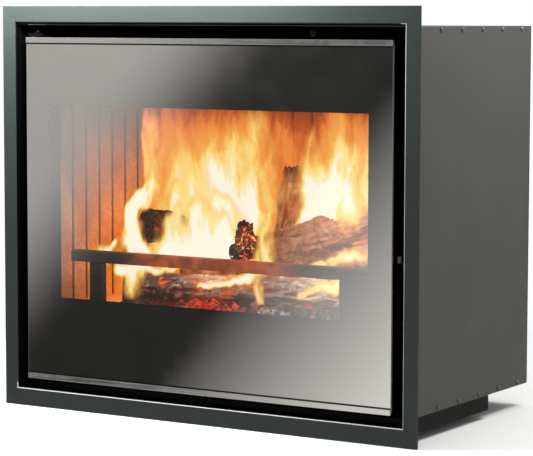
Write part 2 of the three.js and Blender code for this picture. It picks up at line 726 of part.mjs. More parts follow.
// Sprung roller in the right-hand gap, that holds the closed door by its striker.
function addCatch() {
  const strikerX = [stileOuterX + GAP, doorX - GAP];
  const rollerX = strikerX[1] + GAP + CATCH_ROLLER_R;
  const studX = rollerX + CATCH_OFFSET;
  const studY = faceFront - GAP - CATCH_ROLLER_R - CATCH_STUD_R;
  const rollerY = studY - CATCH_ARM;
  const plateTop = CATCH_HEIGHT + CATCH_PLATE;
  const armBottom = plateTop + GAP;
  const armTop = armBottom + CATCH_PLATE;
  const rollerBottom = armTop + GAP;
  const rollerTop = rollerBottom + CATCH_ROLLER_HEIGHT;

  piece('catch_striker', 'zinc', block(
    strikerX,
    [rollerY - STRIKER_DEPTH / 2, rollerY + STRIKER_DEPTH / 2],
    [rollerBottom, rollerTop]));
  const back = faceFront - GAP;
  const bracketX = [strikerX[1] + CATCH_OFFSET, casingInnerX - LAP];
  piece('catch_bracket', 'black_steel', join(
    block(bracketX, [rollerY + CATCH_PLATE_SETBACK, back], [CATCH_HEIGHT, plateTop]),
    block(bracketX, [back - CATCH_FOOT, back], [CATCH_HEIGHT - CATCH_FOOT_DROP, plateTop]),
    rod('z', [studX, studY], CATCH_STUD_R, plateTop - LAP, armTop + CATCH_PLATE, 12)));
  const arm = join(
    rod('z', [studX, studY], CATCH_STUD_R * 2, armBottom, armTop, 16),
    block(
      [rollerX - CATCH_STUD_R, studX + CATCH_STUD_R],
      [rollerY - CATCH_STUD_R, studY],
      [armBottom, armTop]),
    rod('z', [rollerX, rollerY], CATCH_STUD_R, armTop - LAP, rollerTop + LAP, 12));
  piece('catch_arm', 'black_steel',
    cut(arm, rod('z', [studX, studY], CATCH_STUD_R + GAP, armBottom - LAP, armTop + LAP, 12)));
  piece('catch_roller', 'zinc', cut(
    rod('z', [rollerX, rollerY], CATCH_ROLLER_R, rollerBottom, rollerTop, 20),
    rod('z', [rollerX, rollerY], CATCH_STUD_R + GAP, rollerBottom - LAP, rollerTop + LAP, 12)));
}

// ---------------------------------------------------------------- air controls and fan

function addAirControls() {
  const shutterFront = faceBack + GAP;
  const shutterBack = shutterFront + SHUTTER_SHEET;
  const places = airSlotPlaces();
  const half = places[places.length - 1] + AIR_SLOT_WIDTH / 2 + SHUTTER_MARGIN;
  const levels = [AIR_SLOT_LEVEL - SHUTTER_HEIGHT / 2, AIR_SLOT_LEVEL + SHUTTER_HEIGHT / 2];
  const tongueBottom = casingBottom + CASING_SHEET + GAP;
  const neck = [-SHUTTER_NECK / 2, SHUTTER_NECK / 2];
  piece('air_shutter', 'black_steel', join(
    cut(block([-half, half], [shutterFront, shutterBack], levels), ...airSlots(shutterFront, shutterBack)),
    block(neck, [shutterFront, shutterBack], [tongueBottom, levels[0] + LAP]),
    block(neck, [TONGUE_FRONT + LAP, shutterBack], [tongueBottom, tongueBottom + SHUTTER_TONGUE]),
    block([-SHUTTER_NECK, SHUTTER_NECK], [TONGUE_FRONT, TONGUE_FRONT + SHUTTER_NECK / 2],
      [tongueBottom, tongueBottom + SHUTTER_TONGUE])));

  // Bridge behind the shutter: its feet lie on the sill, beyond the shutter's travel.
  const open = half + AIR_SLOT_WIDTH + AIR_GUIDE_CLEARANCE;
  const foot = open + AIR_GUIDE_FOOT;
  const bridge = shutterBack + GAP;
  const rightFoot = [
    [open, shutterFront], [foot, shutterFront], [foot, shutterFront + SHUTTER_SHEET],
    [open + SHUTTER_SHEET, shutterFront + SHUTTER_SHEET], [open + SHUTTER_SHEET, bridge + SHUTTER_SHEET],
  ];
  const outline = [
    ...rightFoot,
    ...rightFoot.map(([x, y]) => [-x, y]).reverse(),
    [-open, bridge], [open, bridge],
  ];
  piece('air_guide', 'black_steel', prism('z', outline, levels[1] - AIR_GUIDE_HEIGHT, levels[1]));
}

// Air-wash shutter on the chamber's roof, with its pull rod in the gap above the door.
function addAirWash() {
  const closedFront = chamberFront + WASH_SLOT_SETBACK - (WASH_PLATE_DEPTH - WASH_SLOT_DEPTH) / 2;
  const front = closedFront + WASH_TRAVEL;
  const back = front + WASH_PLATE_DEPTH;
  const half = WASH_SLOT_PITCH + WASH_SLOT_WIDTH / 2 + SHUTTER_MARGIN;
  const seat = chamberRoof + GAP;
  const rodLevel = (doorTop + casingTop - CASING_SHEET) / 2;
  piece('air_wash_shutter', 'black_steel', join(
    block([-half, half], [front, back], [seat, seat + SHUTTER_SHEET]),
    block(
      [WASH_ROD_X - WASH_ROD_R, WASH_ROD_X + WASH_ROD_R],
      [back - WASH_ROD_R, back],
      [seat, rodLevel]),
    rod('y', [WASH_ROD_X, rodLevel], WASH_ROD_R, WASH_KNOB_FRONT + LAP, back, 12),
    rod(
      'y', [WASH_ROD_X, rodLevel], WASH_KNOB_R, WASH_KNOB_FRONT, WASH_KNOB_FRONT + WASH_KNOB_LENGTH, 20)));
}

function addFan() {
  const bottom = casingBottom + CASING_SHEET + GAP;
  const centre = bottom + FAN_SIZE / 2;
  const back = FAN_FRONT + FAN_DEPTH;
  const half = FAN_SIZE / 2;
  const shell = cut(
    block([-half, half], [FAN_FRONT, back], [bottom, bottom + FAN_SIZE]),
    rod('y', [0, centre], FAN_BORE_R, FAN_FRONT - LAP, back + LAP, 28));
  piece('fan_frame', 'plastic', join(
    shell,
    block(
      [LAP - half, half - LAP],
      [back - FAN_STRUT, back],
      [centre - FAN_STRUT / 2, centre + FAN_STRUT / 2]),
    block(
      [-FAN_STRUT / 2, FAN_STRUT / 2],
      [back - FAN_STRUT, back],
      [bottom + LAP, bottom + FAN_SIZE - LAP]),
    rod('y', [0, centre], FAN_HUB_R, back - FAN_STRUT, back, 20)));

  const hubBack = back - FAN_STRUT - GAP;
  const hubFront = FAN_FRONT + FAN_STRUT;
  const blades = Array.from({ length: FAN_BLADES }, (_, i) => {
    const inner = FAN_HUB_R - 2 * LAP;
    const outer = FAN_BORE_R - FAN_STRUT / 2;
    const blade = new THREE.BoxGeometry(BLADE_THICKNESS, BLADE_CHORD, outer - inner);
    blade.rotateZ(THREE.MathUtils.degToRad(BLADE_PITCH));
    blade.translate(0, (hubFront + hubBack) / 2, (inner + outer) / 2);
    blade.rotateY((2 * Math.PI * i) / FAN_BLADES);
    return blade.translate(0, 0, centre);
  });
  piece('fan_rotor', 'plastic', join(rod('y', [0, centre], FAN_HUB_R, hubFront, hubBack, 20), ...blades));
}

function addGland() {
  const flangeFace = CASING_BACK + GAP;
  const profile = [
    [0, CASING_BACK - GLAND_LENGTH], [GLAND_R, CASING_BACK - GLAND_LENGTH], [GLAND_R, flangeFace],
    [GLAND_FLANGE_R, flangeFace], [GLAND_FLANGE_R, flangeFace + GLAND_LENGTH / 2],
    [GLAND_R, flangeFace + GLAND_LENGTH], [0, flangeFace + GLAND_LENGTH],
  ].map(([r, y]) => new THREE.Vector2(r, y));
  const gland = piece('cable_gland', 'plastic', new THREE.LatheGeometry(profile, 16));
  gland.position.set(GLAND_X, 0, GLAND_Z);
}

// ---------------------------------------------------------------- fuel

// A tapered log between the two ends of its axis, with a slow waver in its radius. A tool that
// clears room for it is the same log, grown by a margin.
function log([start, end], [startR, endR], margin = 0) {
  const way = end.clone().sub(start);
  const length = way.length() + 2 * margin;
  const geometry = new THREE.CylinderGeometry(endR + margin, startR + margin, length, LOG_SIDES, LOG_RINGS);
  geometry.deleteAttribute('normal');
  geometry.deleteAttribute('uv');
  const merged = mergeVertices(geometry, 1e-4);
  const position = merged.attributes.position;
  for (let i = 0; i < position.count; i += 1) {
    const x = position.getX(i);
    const z = position.getZ(i);
    const waver = 1 + LOG_WAVER * Math.sin(3 * Math.atan2(z, x) + position.getY(i) / LOG_WAVE);
    position.setX(i, x * waver);
    position.setZ(i, z * waver);
  }
  merged.applyQuaternion(new THREE.Quaternion().setFromUnitVectors(
    new THREE.Vector3(0, 1, 0), way.normalize()));
  const middle = start.clone().add(end).divideScalar(2);
  return merged.translate(middle.x, middle.y, middle.z);
}

// A lying log's axis, sunk by the flat of its underside.
function lyingAxis(places, radii, setback) {
  return places.map((x, i) => new THREE.Vector3(
    x, setback(radii[i]), liningBottom + radii[i] - LOG_FLAT));
}

// The point over a lying log where the axis of one that crosses it passes, at x.
function bearing([start, end], [startR, endR], x, crossingR) {
  const share = (x - start.x) / (end.x - start.x);
  const under = start.clone().lerp(end, share);
  const radius = THREE.MathUtils.lerp(startR, endR, share);
  return under.setZ(under.z + radius + crossingR - LOG_NOTCH);
}

// An axis through two bearings, run on past each.
function crossingAxis(near, far, [before, after]) {
  const way = far.clone().sub(near).normalize();
  return [near.clone().addScaledVector(way, -before), far.clone().addScaledVector(way, after)];
}

// Two logs lie on the hearth and a stub stands on it. Two more lie across them in notches, and the
// last stands on the rear one and leans on the back lining.
function addLogs() {
  const room = block([-chamberX, chamberX], [0, backLiningFront - GAP], [liningBottom, chamberTop]);
  const guardBack = GUARD_CENTRE + GUARD_BAR_DEPTH / 2;
  const frontAxis = lyingAxis(LOG_FRONT_X, LOG_FRONT_R, (radius) => guardBack + LOG_GUARD_GAP + radius);
  const backAxis = lyingAxis(LOG_BACK_X, LOG_BACK_R, (radius) => backLiningFront - LOG_LINING_GAP - radius);
  const stubFoot = new THREE.Vector3(LOG_STUB_X, frontAxis[0].y + LOG_STUB_SETBACK, liningBottom);
  const stubAxis = [stubFoot, stubFoot.clone().setZ(liningBottom + LOG_STUB_HEIGHT)];
  const stubRadii = [LOG_STUB_R, LOG_STUB_R];
  piece('log_front', 'bark', common(log(frontAxis, LOG_FRONT_R), room));
  piece('log_back', 'bark', common(log(backAxis, LOG_BACK_R), room));
  piece('log_stub', 'bark', log(stubAxis, stubRadii));

  const frontRoom = log(frontAxis, LOG_FRONT_R, 2 * GAP);
  const backRoom = log(backAxis, LOG_BACK_R, 2 * GAP);
  const [topNearX, topFarX] = LOG_TOP_BEARINGS;
  const topNear = new THREE.Vector3(
    topNearX, stubFoot.y, liningBottom + LOG_STUB_HEIGHT + LOG_TOP_R[0] - LOG_NOTCH);
  const topFar = bearing(backAxis, LOG_BACK_R, topFarX, LOG_TOP_R[1]);
  piece('log_top', 'bark', cut(
    log(crossingAxis(topNear, topFar, LOG_TOP_OVERHANG), LOG_TOP_R),
    log(stubAxis, stubRadii, 2 * GAP),
    backRoom));

  const [rightNearX, rightFarX] = LOG_RIGHT_BEARINGS;
  const rightAxis = crossingAxis(
    bearing(frontAxis, LOG_FRONT_R, rightNearX, LOG_RIGHT_R[0]),
    bearing(backAxis, LOG_BACK_R, rightFarX, LOG_RIGHT_R[1]),
    LOG_RIGHT_OVERHANG);
  piece('log_right', 'bark', cut(log(rightAxis, LOG_RIGHT_R), frontRoom, backRoom));

  const [footX, tipX] = LOG_UPRIGHT_X;
  const foot = bearing(backAxis, LOG_BACK_R, footX, 0);
  const tip = new THREE.Vector3(tipX, backLiningFront - LOG_UPRIGHT_R[1], foot.z + LOG_UPRIGHT_RISE);
  piece('log_upright', 'bark', cut(common(log([foot, tip], LOG_UPRIGHT_R), room), backRoom));
}

// ---------------------------------------------------------------- assembly

addPlinth();
addCasing();
addSurround();
addFace();
addChamber();
addLining();
addLogGuard();
addDoor();
addHinges();
addCatch();
addAirControls();
addAirWash();
addFan();
addGland();
addLogs();

insert.position.y = -(PLINTH_FRONT + PLINTH_DEPTH / 2);

export default insert;
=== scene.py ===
import math

import bmesh
import bpy
import numpy as np
from mathutils import Matrix, Vector, noise


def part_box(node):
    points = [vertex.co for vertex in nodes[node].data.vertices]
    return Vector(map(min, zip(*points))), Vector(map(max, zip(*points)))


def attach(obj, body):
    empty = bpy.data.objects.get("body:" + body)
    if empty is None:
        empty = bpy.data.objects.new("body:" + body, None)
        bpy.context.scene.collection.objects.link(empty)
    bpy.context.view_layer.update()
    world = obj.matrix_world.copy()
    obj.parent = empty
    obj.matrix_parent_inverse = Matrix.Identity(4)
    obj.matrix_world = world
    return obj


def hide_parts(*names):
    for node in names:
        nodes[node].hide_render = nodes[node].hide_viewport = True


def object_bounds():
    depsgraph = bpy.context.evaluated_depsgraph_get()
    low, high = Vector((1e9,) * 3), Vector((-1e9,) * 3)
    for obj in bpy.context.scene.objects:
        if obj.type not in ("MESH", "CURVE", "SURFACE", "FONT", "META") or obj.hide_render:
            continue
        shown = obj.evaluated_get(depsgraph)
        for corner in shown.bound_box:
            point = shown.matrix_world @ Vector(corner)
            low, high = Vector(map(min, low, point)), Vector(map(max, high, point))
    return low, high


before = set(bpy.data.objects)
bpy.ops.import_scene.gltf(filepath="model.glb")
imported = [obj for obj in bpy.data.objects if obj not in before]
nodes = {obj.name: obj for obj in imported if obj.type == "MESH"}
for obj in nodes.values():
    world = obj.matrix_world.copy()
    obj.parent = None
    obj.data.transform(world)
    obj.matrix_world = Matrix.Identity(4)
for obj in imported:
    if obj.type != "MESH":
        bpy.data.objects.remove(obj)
scene = bpy.context.scene
cad_low, cad_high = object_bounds()

# ---- camera
WIDTH, HEIGHT = 533, 456
LENS, SENSOR = 151.45, 36.0
FOCAL = LENS / SENSOR * WIDTH
YAW, PITCH, ROLL = (math.radians(v) for v in (31.459, 5.349, 0.131))
EYE = Vector((1.7360, -2.8076, 0.5686))
TURN = (
    Matrix.Rotation(YAW, 3, "Z")
    @ Matrix.Rotation(math.pi / 2 - PITCH, 3, "X")
    @ Matrix.Rotation(ROLL, 3, "Z")
)
camera = bpy.data.objects.new("camera", bpy.data.cameras.new("camera"))
scene.collection.objects.link(camera)
camera.data.lens = LENS
camera.data.sensor_width = SENSOR
camera.data.clip_start, camera.data.clip_end = 0.1, 60
camera.matrix_world = Matrix.Translation(EYE) @ TURN.to_4x4()
scene.camera = camera


def seen_at(px, py, y):
    """The point at depth y that lies behind pixel (px, py) of the picture."""
    ray = TURN @ Vector(((px - WIDTH / 2) / FOCAL, (HEIGHT / 2 - py) / FOCAL, -1))
    return EYE + ray * ((y - EYE.y) / ray.y)


# ---- places
GLASS_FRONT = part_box("door_glass")[0].y
WINDOW_LEFT, WINDOW_RIGHT, WINDOW_LOW, WINDOW_HIGH = -0.27, 0.2732, 0.153, 0.442
NOTCH_PIXEL = (340, 272)
NOTCH = seen_at(*NOTCH_PIXEL, GLASS_FRONT)
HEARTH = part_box("hearth_slab")[1].z
BACK_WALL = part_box("lining_back")[0].y
SIDE_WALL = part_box("lining_right")[0].x
CASING_LOW, CASING_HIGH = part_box("casing_side_right")
FRAME_FRONT, FRAME_BACK = (corner.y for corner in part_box("surround_left"))
RAIL_TOP_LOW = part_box("door_rail_top")[0].z
RAIL_BOTTOM_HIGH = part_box("door_rail_bottom")[1].z
PLINTH_LEFT, PLINTH_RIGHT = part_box("plinth_left")[0].x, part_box("plinth_right")[1].x
PLINTH_FRONT, PLINTH_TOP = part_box("plinth_plate")[0].y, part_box("plinth_plate")[1].z
PIN_TOP = (-0.298, -0.134, 0.547)
EMBER_PIXEL, EMBER_DEPTH = (204, 300), -0.085
EMBER_HEART = seen_at(*EMBER_PIXEL, EMBER_DEPTH).x
CHUNK_PIXEL, CHUNK_DEPTH = (246, 242), -0.05
FIRE_LOW, FIRE_HIGH, FIRE_SIDE = 0.142, 0.447, 0.2775
FIRE_CENTRE = Vector((-0.1, 0.08, 0.215))
BAR_CENTRE = Vector((-0.01, -0.1, 0.2))


# ---- node graphs
class Graph:
    """One material's node tree, with short calls for the nodes used here."""

    def __init__(self, name):
        self.material = bpy.data.materials.new(name)
        self.material.use_nodes = True
        self.tree = self.material.node_tree
        self.tree.nodes.clear()
        self.out = self.tree.nodes.new("ShaderNodeOutputMaterial")
        self.place = self.node("ShaderNodeTexCoord").outputs["Object"]

    def node(self, kind, inputs=None, **settings):
        made = self.tree.nodes.new(kind)
        for key, value in settings.items():
            setattr(made, key, value)
        for key, value in (inputs or {}).items():
            self.feed(made.inputs[key], value)
        return made

    def feed(self, socket, value):
        if isinstance(value, bpy.types.NodeSocket):
            self.tree.links.new(value, socket)
        elif isinstance(value, (tuple, list)) and len(value) == 3 and socket.type == "RGBA":
            socket.default_value = (*value, 1)
        else:
            socket.default_value = value

    def surface(self, **inputs):
        spaced = {key.replace("_", " "): value for key, value in inputs.items()}
        return self.node("ShaderNodeBsdfPrincipled", spaced).outputs[0]

    def principled(self, **inputs):
        self.show(self.surface(**inputs))

    def either(self, share, first, second):
        """The second shader by its share, the first by the rest."""
        return self.node("ShaderNodeMixShader", {0: share, 1: first, 2: second}).outputs[0]

    def show(self, shader):
        self.tree.links.new(shader, self.out.inputs["Surface"])

    def math(self, operation, a, b=0.0, clamp=False):
        made = self.node("ShaderNodeMath", {0: a, 1: b}, operation=operation, use_clamp=clamp)
        return made.outputs[0]

    def times(self, a, b):
        return self.math("MULTIPLY", a, b)

    def stretch(self, value, low, high, to_low=0.0, to_high=1.0, smooth=False):
        kind = "SMOOTHSTEP" if smooth else "LINEAR"
        inputs = {"Value": value, "From Min": low, "From Max": high, "To Min": to_low, "To Max": to_high}
        return self.node("ShaderNodeMapRange", inputs, interpolation_type=kind).outputs[0]

    def scaled(self, scale):
        return self.node("ShaderNodeMapping", {"Vector": self.place, "Scale": scale}).outputs[0]

    def noise(self, scale, detail=4.0, rough=0.55, vector=None, warp=0.0):
        inputs = {"Vector": vector or self.place, "Scale": scale, "Detail": detail, "Roughness": rough}
        return self.node("ShaderNodeTexNoise", {**inputs, "Distortion": warp}).outputs[0]

    def patches(self, scale, detail, low, high, *to):
        return self.stretch(self.noise(scale, detail), low, high, *to)

    def cells(self, scale, vector=None, output="Distance"):
        inputs = {"Vector": vector or self.place, "Scale": scale}
        return self.node("ShaderNodeTexVoronoi", inputs).outputs[output]

    def colours(self, value, *stops):
        made = self.node("ShaderNodeValToRGB", {"Fac": value})
        ramp = made.color_ramp
        while len(ramp.elements) < len(stops):
            ramp.elements.new(0.5)
        for element, (place, colour) in zip(ramp.elements, stops):
            element.position = place
            element.color = (*colour, 1)
        return made.outputs[0]

    def mix(self, share, a, b, blend="MIX"):
        made = self.node("ShaderNodeMix", data_type="RGBA", blend_type=blend)
        self.feed(made.inputs[0], share)
        self.feed(made.inputs[6], a)
        self.feed(made.inputs[7], b)
        return made.outputs[2]

    def bump(self, height, distance, strength):
        inputs = {"Height": height, "Distance": distance, "Strength": strength}
        return self.node("ShaderNodeBump", inputs).outputs[0]

    def edges(self, radius):
        """1 on edges within the radius, 0 on flat faces."""
        soft = self.node("ShaderNodeBevel", {"Radius": radius}, samples=4).outputs[0]
        flat = self.node("ShaderNodeNewGeometry").outputs["True Normal"]
        dot = self.node("ShaderNodeVectorMath", {0: soft, 1: flat}, operation="DOT_PRODUCT").outputs["Value"]
        return self.stretch(dot, 0.995, 0.85)

    def axis(self, name):
        return self.node("ShaderNodeSeparateXYZ", {0: self.place}).outputs[name]

    def attribute(self, name):
        return self.node("ShaderNodeAttribute", attribute_name=name).outputs["Fac"]


# the frame's inner bevel carries a painted highlight where it lies below the casing or on the right bar,
# right of the x where that highlight starts; behind BEVEL_DEPTH the frame is matt black as painted shade, up
# to SLEEVE_REACH outside the casing
BEVEL_START, BEVEL_DEPTH = 0.0003, 0.0016
SLEEVE_REACH = 0.0042
HIGHLIGHT_FROM = 0.32
SHEET_SKIN = 0.0005
BEVEL_HIGHLIGHT = (0.46, 0.48, 0.47)
THROAT_SHADE = (0.0015, 0.0016, 0.0016)
THROAT_SHEEN = 0.04
RUBBED = (0.2, 0.2, 0.19)


def casing_mask(g, grow):
    """Mask of the casing's width and of all below its top, both grown by an amount."""
    across = g.math("LESS_THAN", g.math("ABSOLUTE", g.axis("X")), CASING_HIGH.x + grow)
    return g.times(across, g.math("LESS_THAN", g.axis("Z"), CASING_HIGH.z + grow))


def frame_throat(g):
    """Masks of the frame's inside, painted black as shade, and of the painted highlight on the bevel that
    leads into it.
    """
    x, y, z = (g.axis(a) for a in "XYZ")
    within = casing_mask(g, SLEEVE_REACH)
    deep = g.times(within, g.math("GREATER_THAN", y, FRAME_FRONT + BEVEL_DEPTH))
    shown = g.math("MAXIMUM", g.math("LESS_THAN", z, CASING_LOW.z), g.math("GREATER_THAN", x, HIGHLIGHT_FROM))
    cut = g.times(within, g.math("GREATER_THAN", y, FRAME_FRONT + BEVEL_START))
    return deep, g.times(cut, shown)


def sheet_throat(g):
    """Mask of the casing's front edges and of the inside of its sheets near the door, which painted shade
    turns black.
    """
    y, z = g.axis("Y"), g.axis("Z")
    above = g.math("GREATER_THAN", z, CASING_LOW.z + SHEET_SKIN)
    within = g.times(g.times(casing_mask(g, -SHEET_SKIN), above), g.math("LESS_THAN", y, 0.0))
    return g.math("MAXIMUM", within, g.math("LESS_THAN", y, FRAME_BACK - SHEET_SKIN))


def painted(name, base, rough, metal=0.0, worn=0.25, cloudy=0.08, sheen=0.5, throat=None):
    """Powder coat: orange peel, faint clouding, a little shine lost and gained, rubbed edges.

    A throat, of the "frame" or of a casing "sheet", is painted matt black inside as shade; the frame's bevel
    also gets a painted highlight.
    """
    g = Graph(name)
    cloud = g.noise(7, 3)
    grain = g.noise(1400, 2)
    dim, lit = tuple(c * (1 - cloudy) for c in base), tuple(c * (1 + cloudy) for c in base)
    colour = g.mix(g.stretch(cloud, 0.3, 0.7), dim, lit)
    colour = g.mix(g.stretch(grain, 0.4, 0.75, 0, 0.1), colour, tuple(min(1, c * 2) for c in base))
    scuff = g.times(g.edges(0.0012), g.patches(60, 5, 0.42, 0.62))
    colour = g.mix(g.times(scuff, worn), colour, RUBBED)
    smear = g.noise(16, 5, vector=g.scaled((1, 1, 0.4)))
    gloss = g.stretch(smear, 0.3, 0.75, rough - 0.04, rough + 0.05)
    peeled = g.bump(g.noise(650, 2), 0.00004, 0.5)
    if throat == "frame":
        deep, cut = frame_throat(g)
        # painted highlight on the bevel of the frame's bottom and right bars
        colour = g.mix(cut, colour, BEVEL_HIGHLIGHT)
    elif throat == "sheet":
        deep = sheet_throat(g)
    # painted shade: inside a throat the paint turns matt black and loses its shine
    if throat:
        colour = g.mix(deep, colour, THROAT_SHADE)
        sheen = g.stretch(deep, 0, 1, sheen, THROAT_SHEEN)
        metal = g.stretch(deep, 0, 1, metal, 0)
    g.principled(
        Base_Color=colour, Roughness=gloss, Metallic=metal, Normal=peeled, Specular_IOR_Level=sheen
    )
    return g.material


def brushed(name, base, rough):
    """Brushed metal with fine lines along X."""
    g = Graph(name)
    lines = g.noise(1, 5, 0.6, vector=g.scaled((12, 1600, 1600)))
    uneven = g.patches(18, 3, 0.3, 0.7, -0.03, 0.04)
    colour = g.mix(g.stretch(lines, 0.3, 0.7), tuple(c * 0.85 for c in base), base)
    gloss = g.math("ADD", g.stretch(lines, 0.3, 0.7, rough - 0.06, rough + 0.08), uneven)
    normal = g.bump(lines, 0.00003, 0.6)
    g.principled(Base_Color=colour, Roughness=gloss, Metallic=1.0, Normal=normal)
    return g.material


def plated(name, bright=1.0):
    """Zinc plating: pale grey, slightly yellow, with small dull spangles, made darker all over by the factor
    bright.
    """
    g = Graph(name)
    flakes = g.cells(900, output="Color")
    shade = g.node("ShaderNodeRGBToBW", {0: flakes}).outputs[0]
    colour = g.mix(shade, (0.5, 0.5, 0.48), (0.68, 0.67, 0.62))
    rub = g.times(g.edges(0.0006), g.patches(300, 4, 0.4, 0.6))
    colour = g.mix(g.times(rub, 0.5), colour, (0.8, 0.79, 0.76))
    colour = g.mix(1.0, colour, (bright, bright, bright), "MULTIPLY")
    gloss = g.patches(120, 4, 0.3, 0.7, 0.24, 0.42)
    normal = g.bump(g.noise(800, 3), 0.00003, 0.5)
    g.principled(Base_Color=colour, Roughness=gloss, Metallic=1.0, Normal=normal)
    return g.material


def cast(name):
    """Cast iron with stove paint: sandy skin and a dull bloom, with a painted dark red firelight glow over
    the embers.
    """
    g = Graph(name)
    sand = g.noise(700, 6, 0.65)
    pits = g.cells(420)
    colour = g.mix(g.patches(30, 5, 0.35, 0.65), (0.012, 0.0118, 0.011), (0.024, 0.0215, 0.019))
    colour = g.mix(g.times(g.edges(0.0015), 0.5), colour, (0.08, 0.07, 0.06))
    height = g.math("ADD", sand, g.times(g.stretch(pits, 0, 0.25), 0.6))
    normal = g.bump(height, 0.0003, 0.7)
    gloss = g.stretch(sand, 0.3, 0.7, 0.5, 0.72)
    # painted firelight: dark red glow on the bar, strongest nearest the fire
    firelight_red = g.mix(g.patches(38, 4, 0.35, 0.65), (0.1, 0.012, 0.002), (0.34, 0.06, 0.015))
    tint, near = fire_glow(g, firelight_red, BAR_CENTRE, 0.17, 1.25, hue=(1.0, 1.0, 1.0))
    g.principled(
        Base_Color=colour,
        Roughness=gloss,
        Metallic=0.35,
        Normal=normal,
        Emission_Color=tint,
        Emission_Strength=near,
    )
    return g.material


def steel_black(name):
    """Black high-temperature paint on sheet steel, dead matt."""
    g = Graph(name)
    dust = g.noise(45, 6, 0.6)
    colour = g.mix(g.stretch(dust, 0.4, 0.75), (0.001, 0.0011, 0.0011), (0.0022, 0.0024, 0.0022))
    colour = g.mix(g.times(g.edges(0.0008), 0.3), colour, (0.008, 0.008, 0.0078))
    g.principled(
        Base_Color=colour,
        Roughness=g.patches(200, 4, 0.3, 0.7, 0.62, 0.78),
        Normal=g.bump(g.noise(900, 3), 0.00006, 0.6),
        Specular_IOR_Level=0.03,
    )
    return g.material


def plastic(name):
    """Black moulded plastic with a fine spark-eroded grain."""
    g = Graph(name)
    grain = g.noise(1800, 2)
    colour = g.mix(g.patches(25, 3, 0.3, 0.7), (0.012, 0.012, 0.013), (0.022, 0.022, 0.023))
    g.principled(
        Base_Color=colour,
        Roughness=g.stretch(grain, 0.3, 0.7, 0.4, 0.55),
        Normal=g.bump(grain, 0.00005, 0.6),
    )
    return g.material


FIRE_HEART = 0.1


def fire_glow(g, colour, centre, reach, level, hue):
    """Painted firelight: emission for the light that the fire throws on what lies within its reach, full
    inside its heart.
    """
    offset = g.node("ShaderNodeVectorMath", {0: g.place, 1: tuple(centre)}, operation="SUBTRACT").outputs[0]
    distance = g.node("ShaderNodeVectorMath", {0: offset}, operation="LENGTH").outputs["Value"]
    near = g.stretch(distance, reach, FIRE_HEART, 0, level, smooth=True)
    return g.mix(1.0, colour, hue, "MULTIPLY"), near


FLUTE_LIP, FLUTE_BED = 0.0004, 0.0026


def refractory(name):
    """Moulded firebrick: tan with specks of mica, darker towards the top, with painted shade in the flutes
    and painted firelight glowing on it.
    """
    g = Graph(name)
    x, y, z = (g.axis(a) for a in "XYZ")
    fleck = g.cells(260, output="Color")
    shade = g.node("ShaderNodeRGBToBW", {0: fleck}).outputs[0]
    colour = g.mix(g.stretch(shade, 0.2, 0.8), (0.4, 0.27, 0.17), (0.56, 0.41, 0.28))
    colour = g.mix(g.patches(14, 6, 0.35, 0.7), colour, (0.3, 0.2, 0.13))
    # darker towards the top, in patches
    upper_darkening = g.times(g.stretch(z, 0.26, 0.46), g.patches(9, 5, 0.15, 0.55))
    colour = g.mix(g.times(upper_darkening, 0.85), colour, (0.05, 0.03, 0.02))
    side_flute = g.stretch(g.math("ABSOLUTE", x), SIDE_WALL + FLUTE_LIP, SIDE_WALL + FLUTE_BED)
    back_flute = g.stretch(y, BACK_WALL + FLUTE_LIP, BACK_WALL + FLUTE_BED)
    above_floor = g.math("GREATER_THAN", z, HEARTH + 0.002)
    flute_shade = g.times(g.math("MAXIMUM", side_flute, back_flute), above_floor)
    # painted shade in the flutes
    colour = g.mix(g.times(flute_shade, 0.9), colour, (0.03, 0.016, 0.01))
    # painted firelight: the walls glow by their distance from the fire
    tint, near = fire_glow(g, colour, FIRE_CENTRE, 0.305, 3.3, hue=(1.0, 0.31, 0.04))
    height = g.math("ADD", g.noise(420, 6, 0.6), g.times(g.cells(260), 0.5))
    g.principled(
        Base_Color=g.mix(1.0, colour, (0.3, 0.3, 0.3), "MULTIPLY"),
        Roughness=0.92,
        Normal=g.bump(height, 0.0005, 0.7),
        Emission_Color=tint,
        Emission_Strength=near,
        Specular_IOR_Level=0.2,
    )
    return g.material


def rope(name):
    """Glass-fibre rope: pale grey strands, twisted."""
    g = Graph(name)
    fibre = g.noise(1, 4, 0.6, vector=g.scaled((1500, 1500, 1500)))
    colour = g.mix(g.stretch(fibre, 0.3, 0.7), (0.16, 0.155, 0.145), (0.36, 0.35, 0.33))
    g.principled(Base_Color=colour, Roughness=0.92, Normal=g.bump(fibre, 0.0003, 0.8))
    return g.material


PANE_SKIN, PANE_CORE = 0.0006, 0.0034
PRINT_SOFT = 0.004
# the mirror's tint, and its dim tint for a painted shadow next to the rails
MIRROR, RAIL_SHADOW = (0.6, 0.585, 0.57), (0.04, 0.035, 0.03)
RAIL_SHADOW_WIDTH = 0.0023


